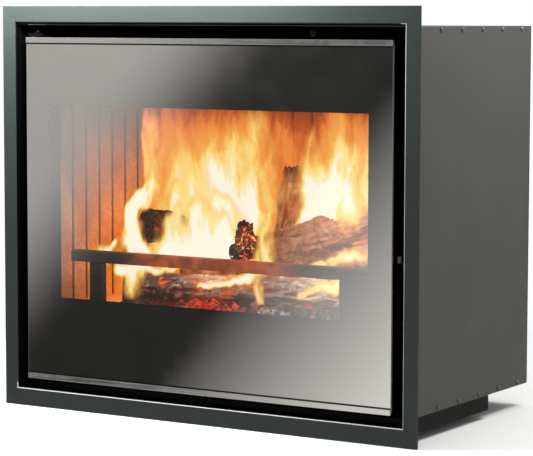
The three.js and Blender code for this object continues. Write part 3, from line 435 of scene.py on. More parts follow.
def door_pane(name):
    """Ceramic glass with a mirror coat, dimmed to a painted shadow line next to the rails. Outside the
    window, which has a notch, its back is black.
    """
    g = Graph(name)
    x, y, z = (g.axis(a) for a in "XYZ")
    front = g.math("LESS_THAN", y, GLASS_FRONT + PANE_SKIN)
    back = g.math("GREATER_THAN", y, GLASS_FRONT + PANE_CORE)

    def inside(value, low, high):
        above = g.stretch(value, low, low + PRINT_SOFT, smooth=True)
        return g.times(above, g.stretch(value, high, high - PRINT_SOFT, smooth=True))

    across = inside(x, WINDOW_LEFT, WINDOW_RIGHT)
    clear = g.times(across, inside(z, WINDOW_LOW, WINDOW_HIGH))
    right = g.stretch(x, NOTCH.x - 0.003, NOTCH.x + 0.003, smooth=True)
    corner = g.times(right, g.stretch(z, NOTCH.z + 0.004, NOTCH.z - 0.004, smooth=True))
    clear = g.times(clear, g.math("SUBTRACT", 1.0, corner))
    dots = g.cells(700, vector=g.scaled((1, 0, 1)))
    clear = g.stretch(g.math("ADD", clear, g.times(dots, 0.25)), 0.45, 0.75, smooth=True)
    side = g.math("SUBTRACT", 1.0, g.math("ADD", front, back, clamp=True), clamp=True)

    print_black = g.mix(g.patches(30, 4, 0.3, 0.7), (0.003, 0.003, 0.0026), (0.006, 0.006, 0.005))
    ink = g.surface(Base_Color=print_black, Roughness=0.5, Specular_IOR_Level=0.0)
    see = g.node("ShaderNodeBsdfTransparent", {"Color": (0.93, 0.92, 0.9)}).outputs[0]
    body = g.either(clear, ink, see)
    wave = g.bump(g.noise(6, 2), 0.0002, 0.02)
    # painted shadow: the mirror is dimmed in a thin line under the top rail and over the bottom rail
    below_rail = g.math("LESS_THAN", z, RAIL_TOP_LOW - RAIL_SHADOW_WIDTH)
    over_rail = g.math("GREATER_THAN", z, RAIL_BOTTOM_HIGH + RAIL_SHADOW_WIDTH)
    between = g.times(below_rail, over_rail)
    mirror = g.node(
        "ShaderNodeBsdfGlossy",
        {
            "Color": g.mix(between, RAIL_SHADOW, MIRROR),
            "Roughness": g.patches(25, 5, 0.4, 0.8, 0.02, 0.06),
            "Normal": wave,
        },
    ).outputs[0]
    coated = g.node("ShaderNodeAddShader", {0: body, 1: mirror}).outputs[0]
    ground = g.mix(g.patches(90, 4, 0.3, 0.7), (0.5, 0.51, 0.5), (0.66, 0.67, 0.66))
    edge = g.surface(Base_Color=ground, Roughness=0.18, Metallic=0.6)
    faced = g.either(front, body, coated)
    whole = g.either(side, faced, edge)
    g.show(whole)
    return g.material


SURROUND_GREEN = (0.0242, 0.0302, 0.0278)
FINISH = {
    "surround_paint": painted(
        "surround_coat", SURROUND_GREEN, 0.36, 0.08, worn=0.4, cloudy=0.05, sheen=0.2, throat="frame"
    ),
    "casing_paint": painted(
        "casing_coat", (0.058, 0.0595, 0.052), 0.42, metal=0.2, cloudy=0.04, throat="sheet"
    ),
    "plinth_paint": painted("plinth_coat", (0.006, 0.008, 0.006), 0.55, sheen=0.12),
    "black_steel": steel_black("stove_black"),
    "rail_steel": brushed("brushed_rail", (0.85, 0.83, 0.8), 0.24),
    "door_glass": door_pane("mirror_glass"),
    "zinc": plated("zinc_plate"),
    "seal_rope": rope("rope_fibre"),
    "firebrick": refractory("firebrick_glow"),
    "cast_iron": cast("cast_skin"),
    "black_plastic": plastic("moulded_plastic"),
}
BEVELS = {
    "surround_paint": 0.0006,
    "casing_paint": 0.0005,
    "plinth_paint": 0.0005,
    "black_steel": 0.0004,
    "rail_steel": 0.0004,
    "door_glass": 0.0004,
    "zinc": 0.00035,
    "firebrick": 0.0012,
    "cast_iron": 0.0012,
    "black_plastic": 0.0004,
}
HEAD_PAINT = painted("screw_coat", (0.1, 0.1, 0.092), 0.3, metal=0.5, worn=0.5)
# zinc made darker all over, for the catch
DARKENED_ZINC = plated("darkened_zinc", 0.22)
WELD_REACH = 1e-6
SHARP = math.radians(40)


def dress(name, node):
    """Gives a CAD node its finish, and rounds its sharp edges where its kind has a bevel."""
    slot = node.material_slots[0]
    kind = slot.material.name.split(".")[0]
    finish = FINISH.get(kind)
    if name.startswith("screws_"):
        finish = HEAD_PAINT
    elif kind == "zinc" and name.startswith("catch"):
        finish = DARKENED_ZINC
    if finish:
        slot.link = "OBJECT"
        slot.material = finish
    if kind in BEVELS:
        weld = node.modifiers.new("weld", "WELD")
        weld.merge_threshold = WELD_REACH
        bevel = node.modifiers.new("bevel", "BEVEL")
        bevel.width = BEVELS[kind]
        bevel.segments = 2
        bevel.limit_method = "ANGLE"
        bevel.angle_limit = SHARP
        bevel.harden_normals = False


for node_name, cad_node in nodes.items():
    dress(node_name, cad_node)


# ---- mesh making
def new_piece(name, body, made, material, replaces=(), smooth=True):
    """Makes a piece of the object from a bmesh or from (points, faces)."""
    data = bpy.data.meshes.new(name)
    if isinstance(made, bmesh.types.BMesh):
        made.to_mesh(data)
        made.free()
    else:
        points, faces = made
        data.from_pydata([tuple(p) for p in points], [], [tuple(f) for f in faces])
    data.validate()
    data.materials.append(material)
    data.polygons.foreach_set("use_smooth", [smooth] * len(data.polygons))
    piece = bpy.data.objects.new(name, data)
    scene.collection.objects.link(piece)
    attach(piece, body)
    if replaces:
        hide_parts(*replaces)
    return piece


def set_attribute(piece, name, values):
    made = piece.data.attributes.new(name, "FLOAT", "POINT")
    made.data.foreach_set("value", np.asarray(values, np.float32))


def wall_faces(rings, sides):
    """Quads between the closed rings of points that follow each other."""
    quads = []
    for i in range(rings):
        for j in range(sides):
            k = (j + 1) % sides
            quads.append((i * sides + j, i * sides + k, (i + 1) * sides + k, (i + 1) * sides + j))
    return quads


def clipped(value):
    return max(0.0, min(1.0, value))


# ---- hinge cap
def make_cap(name, foot, radius, height, rings=8, sides=24):
    """A turned cap: a short collar, a rounded shoulder and a domed top."""
    points, faces = [], wall_faces(rings, sides)
    for i in range(rings + 1):
        turn = math.pi / 2 * i / (rings + 1)
        r = radius * math.cos(turn)
        z = height * (0.35 * (i > 0) + 0.65 * math.sin(turn))
        for j in range(sides):
            a = 2 * math.pi * j / sides
            points.append(Vector(foot) + Vector((r * math.cos(a), r * math.sin(a), z)))
    points.append(Vector(foot) + Vector((0, 0, height)))
    points.append(Vector(foot))
    for j in range(sides):
        k = (j + 1) % sides
        faces.append((rings * sides + j, rings * sides + k, len(points) - 2))
        faces.append((k, j, len(points) - 1))
    new_piece(name, "root", (points, faces), FINISH["zinc"])


make_cap("hinge_pin_cap", PIN_TOP, radius=0.0024, height=0.0028)


# ---- filler strip
def make_strip(name, left, right, front, back, low, high, gauge, turns=6):
    """A folded strip that closes the slot between the frame's lower sleeve and the plinth."""
    outer = 2 * gauge
    centre = Vector((front + outer, low + outer))
    fold = [math.pi / 2 * i / turns for i in range(turns + 1)]
    path = [Vector((front, high))]
    path += [centre - outer * Vector((math.cos(turn), math.sin(turn))) for turn in fold]
    path.append(Vector((back, low)))
    inside = [Vector((front + gauge, high))]
    inside += [centre + (p - centre) * (1 - gauge / outer) for p in path[1:-1]]
    inside.append(Vector((back, low + gauge)))
    ring = path + inside[::-1]
    points = [Vector((x, p.x, p.y)) for x in (left, right) for p in ring]
    count, half = len(ring), len(path)
    faces = [(j, (j + 1) % count, count + (j + 1) % count, count + j) for j in range(count)]
    for j in range(half - 1):
        quad = (j, j + 1, count - 2 - j, count - 1 - j)
        faces += [quad[::-1], tuple(count + k for k in quad)]
    new_piece(name, "root", (points, faces), FINISH["plinth_paint"], smooth=False)


make_strip(
    "plinth_strip",
    left=PLINTH_LEFT - 0.0026,
    right=PLINTH_RIGHT + 0.0002,
    front=FRAME_BACK + 0.0001,
    back=PLINTH_FRONT - 0.0003,
    low=0.0105,
    high=PLINTH_TOP,
    gauge=0.0004,
)


# ---- logs
def charred(name):
    """Burning wood: brown bark and cracked charcoal under pale ash, with embers glowing in the cracks and
    painted firelight on it.
    """
    g = Graph(name)
    depth = g.attribute("depth")
    burnt = g.attribute("burnt")
    fine = g.noise(160, 6, 0.65)
    coarse = g.noise(48, 6, 0.7)
    bark = g.mix(g.stretch(coarse, 0.35, 0.65), (0.13, 0.07, 0.045), (0.42, 0.26, 0.175))
    coal = g.mix(g.stretch(fine, 0.35, 0.7), (0.012, 0.008, 0.007), (0.07, 0.045, 0.035))
    coaled = g.math("ADD", burnt, g.times(coarse, 0.5))
    colour = g.mix(g.stretch(coaled, 0.55, 1.0), bark, coal)
    crack = g.stretch(depth, 0.5, 0.15)
    colour = g.mix(g.times(crack, 0.75), colour, (0.02, 0.01, 0.007))
    pale = g.times(g.attribute("ashen"), g.stretch(g.noise(26, 6, 0.7), 0.38, 0.62))
    colour = g.mix(g.times(pale, g.stretch(depth, 0.1, 0.6)), colour, (0.36, 0.29, 0.25))
    ash = g.times(g.stretch(g.noise(70, 5, 0.7), 0.52, 0.64), g.stretch(depth, 0.55, 0.95))
    ash = g.times(ash, g.stretch(burnt, 1.0, 0.55, 0.15, 1.0))
    colour = g.mix(g.times(ash, 0.7), colour, (0.6, 0.47, 0.4))
    heat = g.times(crack, g.patches(30, 4, 0.4, 0.62))
    heat = g.times(heat, g.attribute("lit"))
    glow = g.colours(
        heat,
        (0.0, (0, 0, 0)),
        (0.22, (0.3, 0.02, 0.003)),
        (0.5, (0.9, 0.13, 0.02)),
        (0.8, (1.0, 0.42, 0.1)),
        (1.0, (1.0, 0.8, 0.35)),
    )
    # painted firelight, added to the glow of the cracks
    tint, near = fire_glow(g, colour, FIRE_CENTRE, 0.3, 0.5, hue=(1.0, 0.4, 0.12))
    light = g.mix(1.0, glow, g.mix(near, (0, 0, 0), tint), "ADD")
    g.principled(
        Base_Color=colour,
        Roughness=g.stretch(fine, 0.3, 0.7, 0.75, 0.95),
        Normal=g.bump(fine, 0.0014, 0.8),
        Emission_Color=light,
        Emission_Strength=1.3,
        Specular_IOR_Level=0.15,
    )
    return g.material


CHARRED = charred("charred_wood")


def log_relief(around, along, radius, shift):
    """Depth of the bark at one point: ridges along the log, broken by cross checks. 0 deep, 1 high."""
    c, d = math.cos(around) * radius, math.sin(around) * radius
    grain = Vector((c * 95, d * 95, along * 17)) + shift
    ridge = noise.ridged_multi_fractal(grain, 0.9, 2.1, 4, 1.0, 2.0, noise_basis="PERLIN_ORIGINAL")
    lump = noise.noise(Vector((c * 42, d * 42, along * 34)) + shift * 2)
    relief = clipped(0.5 * (ridge - 0.6) + 0.55 * lump + 0.38)
    check = abs(noise.noise(Vector((c * 50, d * 50, along * 62)) + shift * 3))
    return relief * min(1.0, 0.3 + check / 0.09)


LOG_RINGS, LOG_SIDES, END_RINGS = 110, 100, 16
FLOOR_GAP, WALL_GAP = 0.0005, 0.0004


def make_log(name, node, start, end, radii, seed, char, lit, ashen, craggy, tinder):
    """A tapered log between the ends of its axis, with bark, checks and cut ends, clear of the hearth.

    Its bark is grey by the amount ashen[0], beyond the share ashen[1] of its length, and craggy is how
    deep the bark is. The first end is burnt to coal by tinder[0], which fades out over the share tinder[1].
    """
    start, end = Vector(start), Vector(end)
    way = (end - start).normalized()
    side = way.cross(Vector((0, 1, 0)) if abs(way.z) > 0.8 else Vector((0, 0, 1))).normalized()
    rise = side.cross(way).normalized()
    length = (end - start).length
    shift = Vector((seed * 7.3, seed * 3.1, seed * 5.7))
    rings, sides = LOG_RINGS, LOG_SIDES
    points, faces = [], wall_faces(rings, sides)
    depth, burnt, glow, grey = [], [], [], []

    def add(point, deep, along, extra=0.0):
        """Adds a point with its depth in the bark, and how charred, lit and grey it is."""
        point.z = max(point.z, HEARTH + FLOOR_GAP)
        point.y = min(point.y, BACK_WALL - WALL_GAP)
        cold = noise.noise(point * 13 + shift)
        hot = noise.noise(point * 16 - shift)
        extra += tinder[0] * max(0.0, 1 - along / tinder[1])
        points.append(point)
        grey.append(ashen[0] * clipped((along - ashen[1]) / 0.15))
        depth.append(deep)
        burnt.append(clipped(char + extra + 0.7 * cold))
        glow.append(clipped(lit + extra + 0.8 * hot))
        return len(points) - 1

    for i in range(rings + 1):
        s = i / rings
        radius = radii[0] + (radii[1] - radii[0]) * s
        for j in range(sides):
            a = 2 * math.pi * j / sides
            c, d = math.cos(a), math.sin(a)
            swell = noise.noise(Vector((c * 1.3, d * 1.3, s * length * 9)) + shift)
            relief = log_relief(a, s * length, radius, shift)
            r = radius * (0.95 + 0.06 * swell - craggy * (1 - relief))
            fray = abs(noise.noise(Vector((c * 2.6, d * 2.6, 7)) + shift)) * max(0.0, (s - 0.84) / 0.16)
            rim = min(s, 1 - s) * length / (radius * 0.16)
            if rim < 1:
                r *= 0.92 + 0.08 * math.sqrt(1 - (1 - rim) ** 2)
            on_axis = start + way * (length * s - 1.3 * radius * fray)
            add(on_axis + (side * c + rise * d) * r, relief, s)

    # cut ends: rings of the rim drawn in to the pith, with radial cracks and charred blocks
    for s, base, sign, radius in ((0, 0, -1, radii[0]), (1, rings * sides, 1, radii[1])):
        centre = start + way * (length * s)
        last = [base + j for j in range(sides)]
        for q in range(1, END_RINGS):
            t = 1 - q / END_RINGS
            row = []
            for j in range(sides):
                a = 2 * math.pi * j / sides
                c, d = math.cos(a) * t, math.sin(a) * t
                block_gap = abs(noise.noise(Vector((c * 3.4, d * 3.4, 4 + s)) + shift * 2))
                ray = Vector((math.cos(a) * 5, math.sin(a) * 5, t * 1.5))
                crack = abs(noise.noise(ray + shift * (2 + s)))
                open_gap = max(0.0, 1 - min(block_gap, crack) / 0.1)
                wave = 0.09 * noise.noise(Vector((c * 2.2, d * 2.2, 9 + s)) + shift)
                dent = (0.2 * open_gap + 0.02 * math.sin(t * radius * 1500) - wave) * radius
                rim_point = points[base + j]
                point = centre + (rim_point - centre) * t - way * sign * dent
                row.append(add(point, 0.9 - 0.8 * open_gap, s, 0.3))
            for j in range(sides):
                k = (j + 1) % sides
                quad = (last[j], row[j], row[k], last[k])
                faces.append(quad if sign < 0 else quad[::-1])
            last = row
        pith = add(centre - way * sign * 0.05 * radius, 0.4, s, 0.3)
        for j in range(sides):
            k = (j + 1) % sides
            tri = (last[j], pith, last[k])
            faces.append(tri if sign < 0 else tri[::-1])
    piece = new_piece(name, "root", (points, faces), CHARRED, replaces=[node])
    for key, values in {"depth": depth, "burnt": burnt, "lit": glow, "ashen": grey}.items():
        set_attribute(piece, key, values)


# each log: its node, the ends of its axis, its radii there, a seed, how charred it is, how much it glows,
# how grey its bark is, how deep the bark is, and how much and how far its first end has burnt to coal
LOGS = {
    "burning_log_front": (
        "log_front", (-0.17, -0.048, 0.1623), (0.2, -0.042, 0.1683), (0.028, 0.034),
        1, 0.3, 0.15, (0.85, 0.6), 0.28, (0.8, 0.8),
    ),
    "burning_log_back": (
        "log_back", (-0.178, 0.106, 0.1743), (0.212, 0.09, 0.1903), (0.04, 0.056),
        2, 0.35, 0.1, (0.5, 0), 0.18, (0, 1),
    ),
    "burning_log_top": (
        "log_top", (-0.1809, -0.0224, 0.2563), (-0.1234, 0.1263, 0.2361), (0.028, 0.026),
        3, 0.85, 0.25, (0, 0), 0.2, (0.3, 0.4),
    ),
    "burning_log_right": (
        "log_right", (-0.0009, -0.0546, 0.2154), (0.138, 0.1353, 0.274), (0.027, 0.03),
        4, 0.08, 0.02, (1, 0.25), 0.28, (1, 0.3),
    ),
    "burning_log_upright": (
        "log_upright", (-0.008, 0.099, 0.2232), (-0.012, 0.1365, 0.341), (0.025, 0.023),
        5, 0.5, 0.2, (0.3, 0), 0.36, (0, 1),
    ),
    "burning_log_stub": (
        "log_stub", (-0.206, -0.015, 0.1383), (-0.206, -0.015, 0.2323), (0.022, 0.022),
        6, 0.6, 0.2, (0, 0), 0.2, (0, 1),
    ),
}
for log_name, description in LOGS.items():
    make_log(log_name, *description)


# ---- embers
def ember_skin(name):
    """Lumps of charcoal with white ash, red in the gaps."""
    g = Graph(name)
    fine = g.noise(220, 6, 0.65)
    hot = g.attribute("hot")
    colour = g.mix(g.stretch(fine, 0.4, 0.65), (0.01, 0.008, 0.008), (0.1, 0.075, 0.065))
    ashy = g.stretch(g.axis("X"), EMBER_HEART - 0.05, EMBER_HEART + 0.16, 0.15, 0.95)
    flakes = g.times(g.patches(120, 5, 0.42, 0.6), ashy)
    colour = g.mix(flakes, colour, (0.42, 0.31, 0.26))
    heat = g.times(hot, g.stretch(g.noise(110, 6, 0.65), 0.42, 0.6))
    glow = g.colours(
        heat,
        (0.0, (0, 0, 0)),
        (0.3, (0.4, 0.015, 0.002)),
        (0.62, (1.0, 0.13, 0.015)),
        (1.0, (1.0, 0.6, 0.2)),
    )
    g.principled(
        Base_Color=colour,
        Roughness=0.92,
        Normal=g.bump(fine, 0.001, 0.8),
        Emission_Color=glow,
        Emission_Strength=1.6,
    )
    return g.material


EMBER_COUNT = 420
EMBERS_ACROSS, EMBERS_DEEP, EMBER_SIZES = (-0.2, 0.255), (-0.088, 0.15), (0.004, 0.014)
PILE_X, PILE_SPREAD, PILE_HIGH = 0.03, 0.13, 0.012
HOT_SPREAD = 0.055
EMBER_FRONT = -0.1


def make_embers():
    """A bed of broken charcoal on the hearth, in front of and between the logs."""
    rng = np.random.default_rng(11)
    whole = bmesh.new()
    heat = whole.verts.layers.float.new("hot")
    for count in range(1, EMBER_COUNT + 1):
        x = rng.uniform(*EMBERS_ACROSS)
        y = rng.uniform(*EMBERS_DEEP)
        size = rng.uniform(*EMBER_SIZES)
        pile = PILE_HIGH * math.exp(-((x - PILE_X) / PILE_SPREAD) ** 2)
        z = HEARTH + size * 0.45 + rng.uniform(0, 1) * pile
        lump = bmesh.ops.create_icosphere(whole, subdivisions=2, radius=1)["verts"]
        turned, tipped = rng.uniform(0, 6.28), rng.uniform(0, 6.28)
        spin = Matrix.Rotation(turned, 3, "Z") @ Matrix.Rotation(tipped, 3, "X")
        stretch = Vector((rng.uniform(0.8, 1.6), rng.uniform(0.7, 1.1), rng.uniform(0.6, 0.9))) * size
        off = Vector((count * 1.7, count * 2.3, 0))
        hot = rng.uniform(0.3, 1.0) * math.exp(-((x - EMBER_HEART) / HOT_SPREAD) ** 2)
        for v in lump:
            d = v.co.normalized()
            facet = noise.cell(d * 2.2 + off) * 0.16 + noise.noise(d * 2.5 + off) * 0.3
            p = d * (1 + facet)
            p = spin @ Vector((p.x * stretch.x, p.y * stretch.y, p.z * stretch.z))
            p += Vector((x, y, z))
            p.z = max(p.z, HEARTH + 0.0004)
            p.y = max(p.y, EMBER_FRONT)
            v.co = p
            v[heat] = hot * (0.6 + 0.4 * noise.noise(p * 90))
    new_piece("ember_bed", "root", whole, ember_skin("ember_coal"))


make_embers()


def make_chunk(name, middle, size, seed):
    """A broken wedge of glowing charcoal with deep checks, standing on its broad side."""
    made = bmesh.new()
    layers = {k: made.verts.layers.float.new(k) for k in ("depth", "burnt", "lit", "ashen")}
    shift = Vector((seed * 5.1, seed * 2.9, seed * 7.7))
    for v in bmesh.ops.create_icosphere(made, subdivisions=6, radius=1)["verts"]:
        d = v.co.normalized()
        facet = noise.cell(d * 1.9 + shift) * 0.14 + noise.noise(d * 1.6 + shift) * 0.34
        check = min(1.0, abs(noise.noise(Vector((d.x * 4, d.y * 4, d.z * 1.6)) + shift)) / 0.12)
        cross = min(1.0, abs(noise.noise(Vector((d.x * 2, d.y * 2, d.z * 6)) - shift)) / 0.1)
        relief = min(check, cross)
        narrow = 1 - 0.5 * (d.z + 1) / 2
        r = (0.86 + facet) * (0.84 + 0.16 * relief)
        grown = Vector((d.x * size[0] * narrow, d.y * size[1] * narrow, d.z * size[2]))
        v.co = middle + grown * r
        v[layers["depth"]] = 0.02 + 0.6 * relief
        v[layers["burnt"]] = 0.85
        v[layers["lit"]] = 1.0 + 0.3 * noise.noise(d * 3 + shift)
        v[layers["ashen"]] = 0.0
    new_piece(name, "root", made, CHARRED)


make_chunk("charcoal_chunk", seen_at(*CHUNK_PIXEL, CHUNK_DEPTH), (0.027, 0.018, 0.033), seed=5)


# ---- flames
def flame_skin(name, level, golden):
    """Burning gas. The glow of each point gives both the colour and how much it hides.

    Golden is 0 for the red ground of the fire and 1 for tongues with thin, clear yellow rims.
    """
    g = Graph(name)
    heat = g.attribute("glow_level")
    lick = g.noise(1, 6, 0.65, vector=g.scaled((170, 170, 45)), warp=0.9)
    heat = g.times(heat, g.stretch(lick, 0.25, 0.75, 0.78, 1.2))

    def blend(red, gold):
        return tuple(r + (q - r) * golden for r, q in zip(red, gold))

    colour = g.colours(
        heat,
        (0.0, blend((0.5, 0.05, 0.006), (0.9, 0.36, 0.07))),
        (0.16, blend((0.72, 0.12, 0.022), (0.95, 0.42, 0.08))),
        (0.32, blend((0.92, 0.3, 0.055), (0.98, 0.5, 0.1))),
        (0.52, blend((0.98, 0.55, 0.11), (1.0, 0.69, 0.19))),
        (0.72, (1.0, 0.82, 0.36)),
        (0.9, (1.0, 0.98, 0.82)),
    )
    solid = g.stretch(heat, 0.02 + 0.06 * golden, 0.3 + 0.42 * golden, 0, 0.97, smooth=True)
    g.principled(
        Base_Color=(0.0, 0.0, 0.0),
        Roughness=1.0,
        Alpha=solid,
        Emission_Color=colour,
        Emission_Strength=level,
        Specular_IOR_Level=0.0,
    )
    g.material.cycles.emission_sampling = "NONE"
    return g.material


def fade(value, low, high):
    t = np.clip((value - low) / (high - low), 0, 1)
    return t * t * (3 - 2 * t)


def flow_noise(x, y, seed):
    """Smooth noise on arrays, from a fixed lattice of random values."""
    rng = np.random.default_rng(seed)
    lattice = rng.random((64, 64))
    xi, yi = np.floor(x).astype(int), np.floor(y).astype(int)
    fx, fy = x - xi, y - yi
    fx, fy = fx * fx * (3 - 2 * fx), fy * fy * (3 - 2 * fy)

    def at(i, j):
        return lattice[(xi + i) % 64, (yi + j) % 64]

    low = at(0, 0) * (1 - fx) + at(1, 0) * fx
    high = at(0, 1) * (1 - fx) + at(1, 1) * fx
    return (low * (1 - fy) + high * fy) * 2 - 1


def licks(x, y, seed):
    """Streaks that rise and curl, from 0 to 1."""
    curl_x = x + 6 * flow_noise(x / 19, y / 31, seed + 11)
    curl_y = y + 9 * flow_noise(x / 23, y / 37, seed + 12)
    broad = flow_noise(curl_x / 9, curl_y / 30, seed + 13)
    fine = flow_noise(curl_x / 3.8, curl_y / 16, seed + 14)
    return 0.5 + 0.3 * broad + 0.2 * fine


def paint_strokes(px, py, strokes, seed):
    """Heat at picture points from tongues of flame: each follows a bent line and thins to its tip."""
    sway = 4.5 * flow_noise(px / 22, py / 36, seed) + 3.0 * flow_noise(px / 8, py / 17, seed + 1)
    sway = sway + 1.3 * flow_noise(px / 3.4, py / 8, seed + 3)
    lift = 4.0 * flow_noise(px / 13, py / 30, seed + 2) + 3.0 * flow_noise(px / 5, py / 22, seed + 4)
    x, y = px + sway, py + lift
    heat = np.zeros_like(px)
    for n, (line, base, tip, hot, cool, soft) in enumerate(strokes):
        line = np.array(line, float)
        span = np.linalg.norm(np.diff(line, axis=0), axis=1)
        total = span.sum()
        best = np.full(px.shape, 1e9)
        place = np.zeros_like(px)
        side = np.zeros_like(px)
        run = 0.0
        for a, b, size in zip(line[:-1], line[1:], span):
            d = (b - a) / size
            t = np.clip((x - a[0]) * d[0] + (y - a[1]) * d[1], 0, size)
            ox, oy = x - a[0] - d[0] * t, y - a[1] - d[1] * t
            gap = np.hypot(ox, oy)
            closer = gap < best
            best = np.where(closer, gap, best)
            place = np.where(closer, (run + t) / total, place)
            side = np.where(closer, d[0] * oy - d[1] * ox, side)
            run += size
        width = base + (tip - base) * place**1.3
        streak = flow_noise(side / np.maximum(width, 1) * 3.1 + n * 7, place * total / 30 + n * 3, seed + 5)
        body = 1 / (1 + np.exp(np.clip((best - width) / (soft * width), -30, 30)))
        level = hot + (cool - hot) * place**1.2
        end = 1 - fade(place, 0.7, 1.0) * 0.6
        heat = np.maximum(heat, 0.55 * heat + body * level * end * (1 + 0.22 * streak))
    return heat * (0.7 + 0.6 * licks(px, py, seed))


FAINTEST = 0.015


def flame_sheet(name, y, bow, window, strokes, seed, level, golden, grid):
    """A curved sheet of fire at depth y, kept only where there is flame."""
    x0, y0, x1, y1 = window
    cols, rows = int((x1 - x0) / grid) + 1, int((y1 - y0) / grid) + 1
    px, py = np.meshgrid(np.linspace(x0, x1, cols), np.linspace(y0, y1, rows))
    heat = paint_strokes(px, py, strokes, seed)
    points = []
    for i in range(rows):
        for j in range(cols):
            u = (j / (cols - 1)) * 2 - 1
            wave = 0.006 * noise.noise(Vector((px[i, j] / 30, py[i, j] / 40, seed)))
            points.append(seen_at(px[i, j], py[i, j], y + bow * u * u + wave))
    height = np.array([p.z for p in points]).reshape(rows, cols)
    wide = np.array([p.x for p in points]).reshape(rows, cols)
    heat = heat * fade(height, FIRE_LOW - 0.002, FIRE_LOW + 0.02)
    heat = heat * fade(FIRE_HIGH - height, 0, 0.012) * fade(FIRE_SIDE - np.abs(wide), 0, 0.01)
    keep = heat > FAINTEST
    faces, used = [], {}
    for i in range(rows - 1):
        for j in range(cols - 1):
            if keep[i : i + 2, j : j + 2].any():
                ring = [i * cols + j, (i + 1) * cols + j, (i + 1) * cols + j + 1, i * cols + j + 1]
                faces.append([used.setdefault(k, len(used)) for k in ring])
    order = list(used)
    points = [points[k] for k in order]
    piece = new_piece(name, "root", (points, faces), flame_skin(name + "_gas", level, golden))
    set_attribute(piece, "glow_level", heat.ravel()[order])
    piece.visible_shadow = False


# each tongue: its line in picture points, half width at the base and tip, heat at the base and tip,
# and how soft its edge is
GLOW_FIRE = [
    ([(208, 250), (206, 180), (206, 96)], 58, 60, 0.5, 0.3, 0.09),
    ([(292, 250), (302, 170), (302, 96)], 44, 46, 0.28, 0.2, 0.12),
    ([(344, 226), (352, 160), (352, 96)], 26, 32, 0.42, 0.3, 0.14),
]
MAIN_FIRE = [
    ([(194, 252), (194, 206), (186, 166), (174, 132)], 42, 5, 0.86, 0.6, 0.34),
    ([(212, 250), (214, 190), (210, 150), (218, 122)], 30, 3, 0.84, 0.62, 0.36),
    ([(236, 246), (236, 190), (236, 150), (230, 112)], 22, 4, 0.72, 0.58, 0.36),
    ([(250, 222), (252, 170), (258, 130), (256, 100)], 15, 8, 0.64, 0.52, 0.4),
    ([(272, 210), (270, 178), (276, 146), (270, 124)], 8, 3, 0.42, 0.3, 0.5),
    ([(286, 196), (286, 180), (292, 166)], 7, 3, 0.3, 0.26, 0.6),
]
VEIL_FIRE = [
    ([(166, 214), (160, 176), (155, 136), (154, 94)], 13, 12, 0.6, 0.28, 0.5),
    ([(150, 176), (146, 150), (140, 122)], 5, 2, 0.4, 0.26, 0.6),
]
CORE_FIRE = [
    ([(202, 254), (204, 222), (196, 186), (186, 152)], 27, 3, 1.1, 0.7, 0.5),
    ([(170, 244), (176, 206), (184, 170)], 11, 2, 0.85, 0.66, 0.5),
    ([(226, 250), (224, 218), (214, 184)], 16, 2, 1.0, 0.66, 0.5),
]
FRONT_FIRE = [
    ([(174, 262), (178, 232), (174, 196)], 14, 2, 1.15, 0.62, 0.4),
    ([(198, 262), (202, 230), (196, 186)], 22, 2, 1.3, 0.7, 0.4),
    ([(220, 262), (222, 236), (218, 206)], 17, 2, 1.2, 0.62, 0.4),
    ([(162, 258), (172, 248), (180, 244)], 8, 6, 1.2, 1.1, 0.4),
]
SIDE_TONGUES = [
    ([(142, 260), (134, 238), (133, 216), (141, 194), (152, 172)], 9, 1.5, 1.4, 0.95, 0.24),
    ([(146, 200), (152, 188), (154, 176)], 7, 2, 0.9, 0.62, 0.4),
    ([(154, 190), (152, 166), (144, 140)], 7, 1, 0.5, 0.3, 0.5),
    ([(266, 260), (267, 236), (270, 204)], 8, 2, 0.85, 0.5, 0.5),
    ([(105, 254), (113, 246), (120, 236)], 7, 1.5, 1.2, 0.85, 0.35),
]
RIGHT_FIRE = [
    ([(297, 242), (311, 216), (317, 186), (320, 156)], 7, 3, 1.1, 0.6, 0.45),
    ([(322, 216), (330, 190), (336, 160), (344, 118)], 16, 3, 1.1, 0.5, 0.45),
    ([(346, 206), (352, 178), (358, 134)], 15, 5, 0.8, 0.44, 0.45),
    ([(314, 190), (311, 160), (318, 118)], 9, 3, 0.62, 0.42, 0.5),
    ([(364, 200), (368, 170), (366, 130)], 8, 4, 0.5, 0.36, 0.5),
]
LOW_FIRE = [
    ([(118, 266), (150, 267), (188, 271)], 6, 1.5, 1.2, 0.7, 0.4),
    ([(200, 288), (226, 280), (263, 275)], 2, 7, 1.0, 1.25, 0.35),
    ([(130, 302), (131, 284), (134, 264)], 6, 9, 0.5, 1.15, 0.45),
    ([(263, 314), (262, 298), (261, 282)], 2, 4, 0.45, 0.75, 0.5),
    ([(303, 298), (318, 287), (345, 282)], 3, 7, 0.6, 1.1, 0.45),
    ([(304, 268), (338, 262), (374, 254)], 3, 8, 0.5, 1.05, 0.45),
]
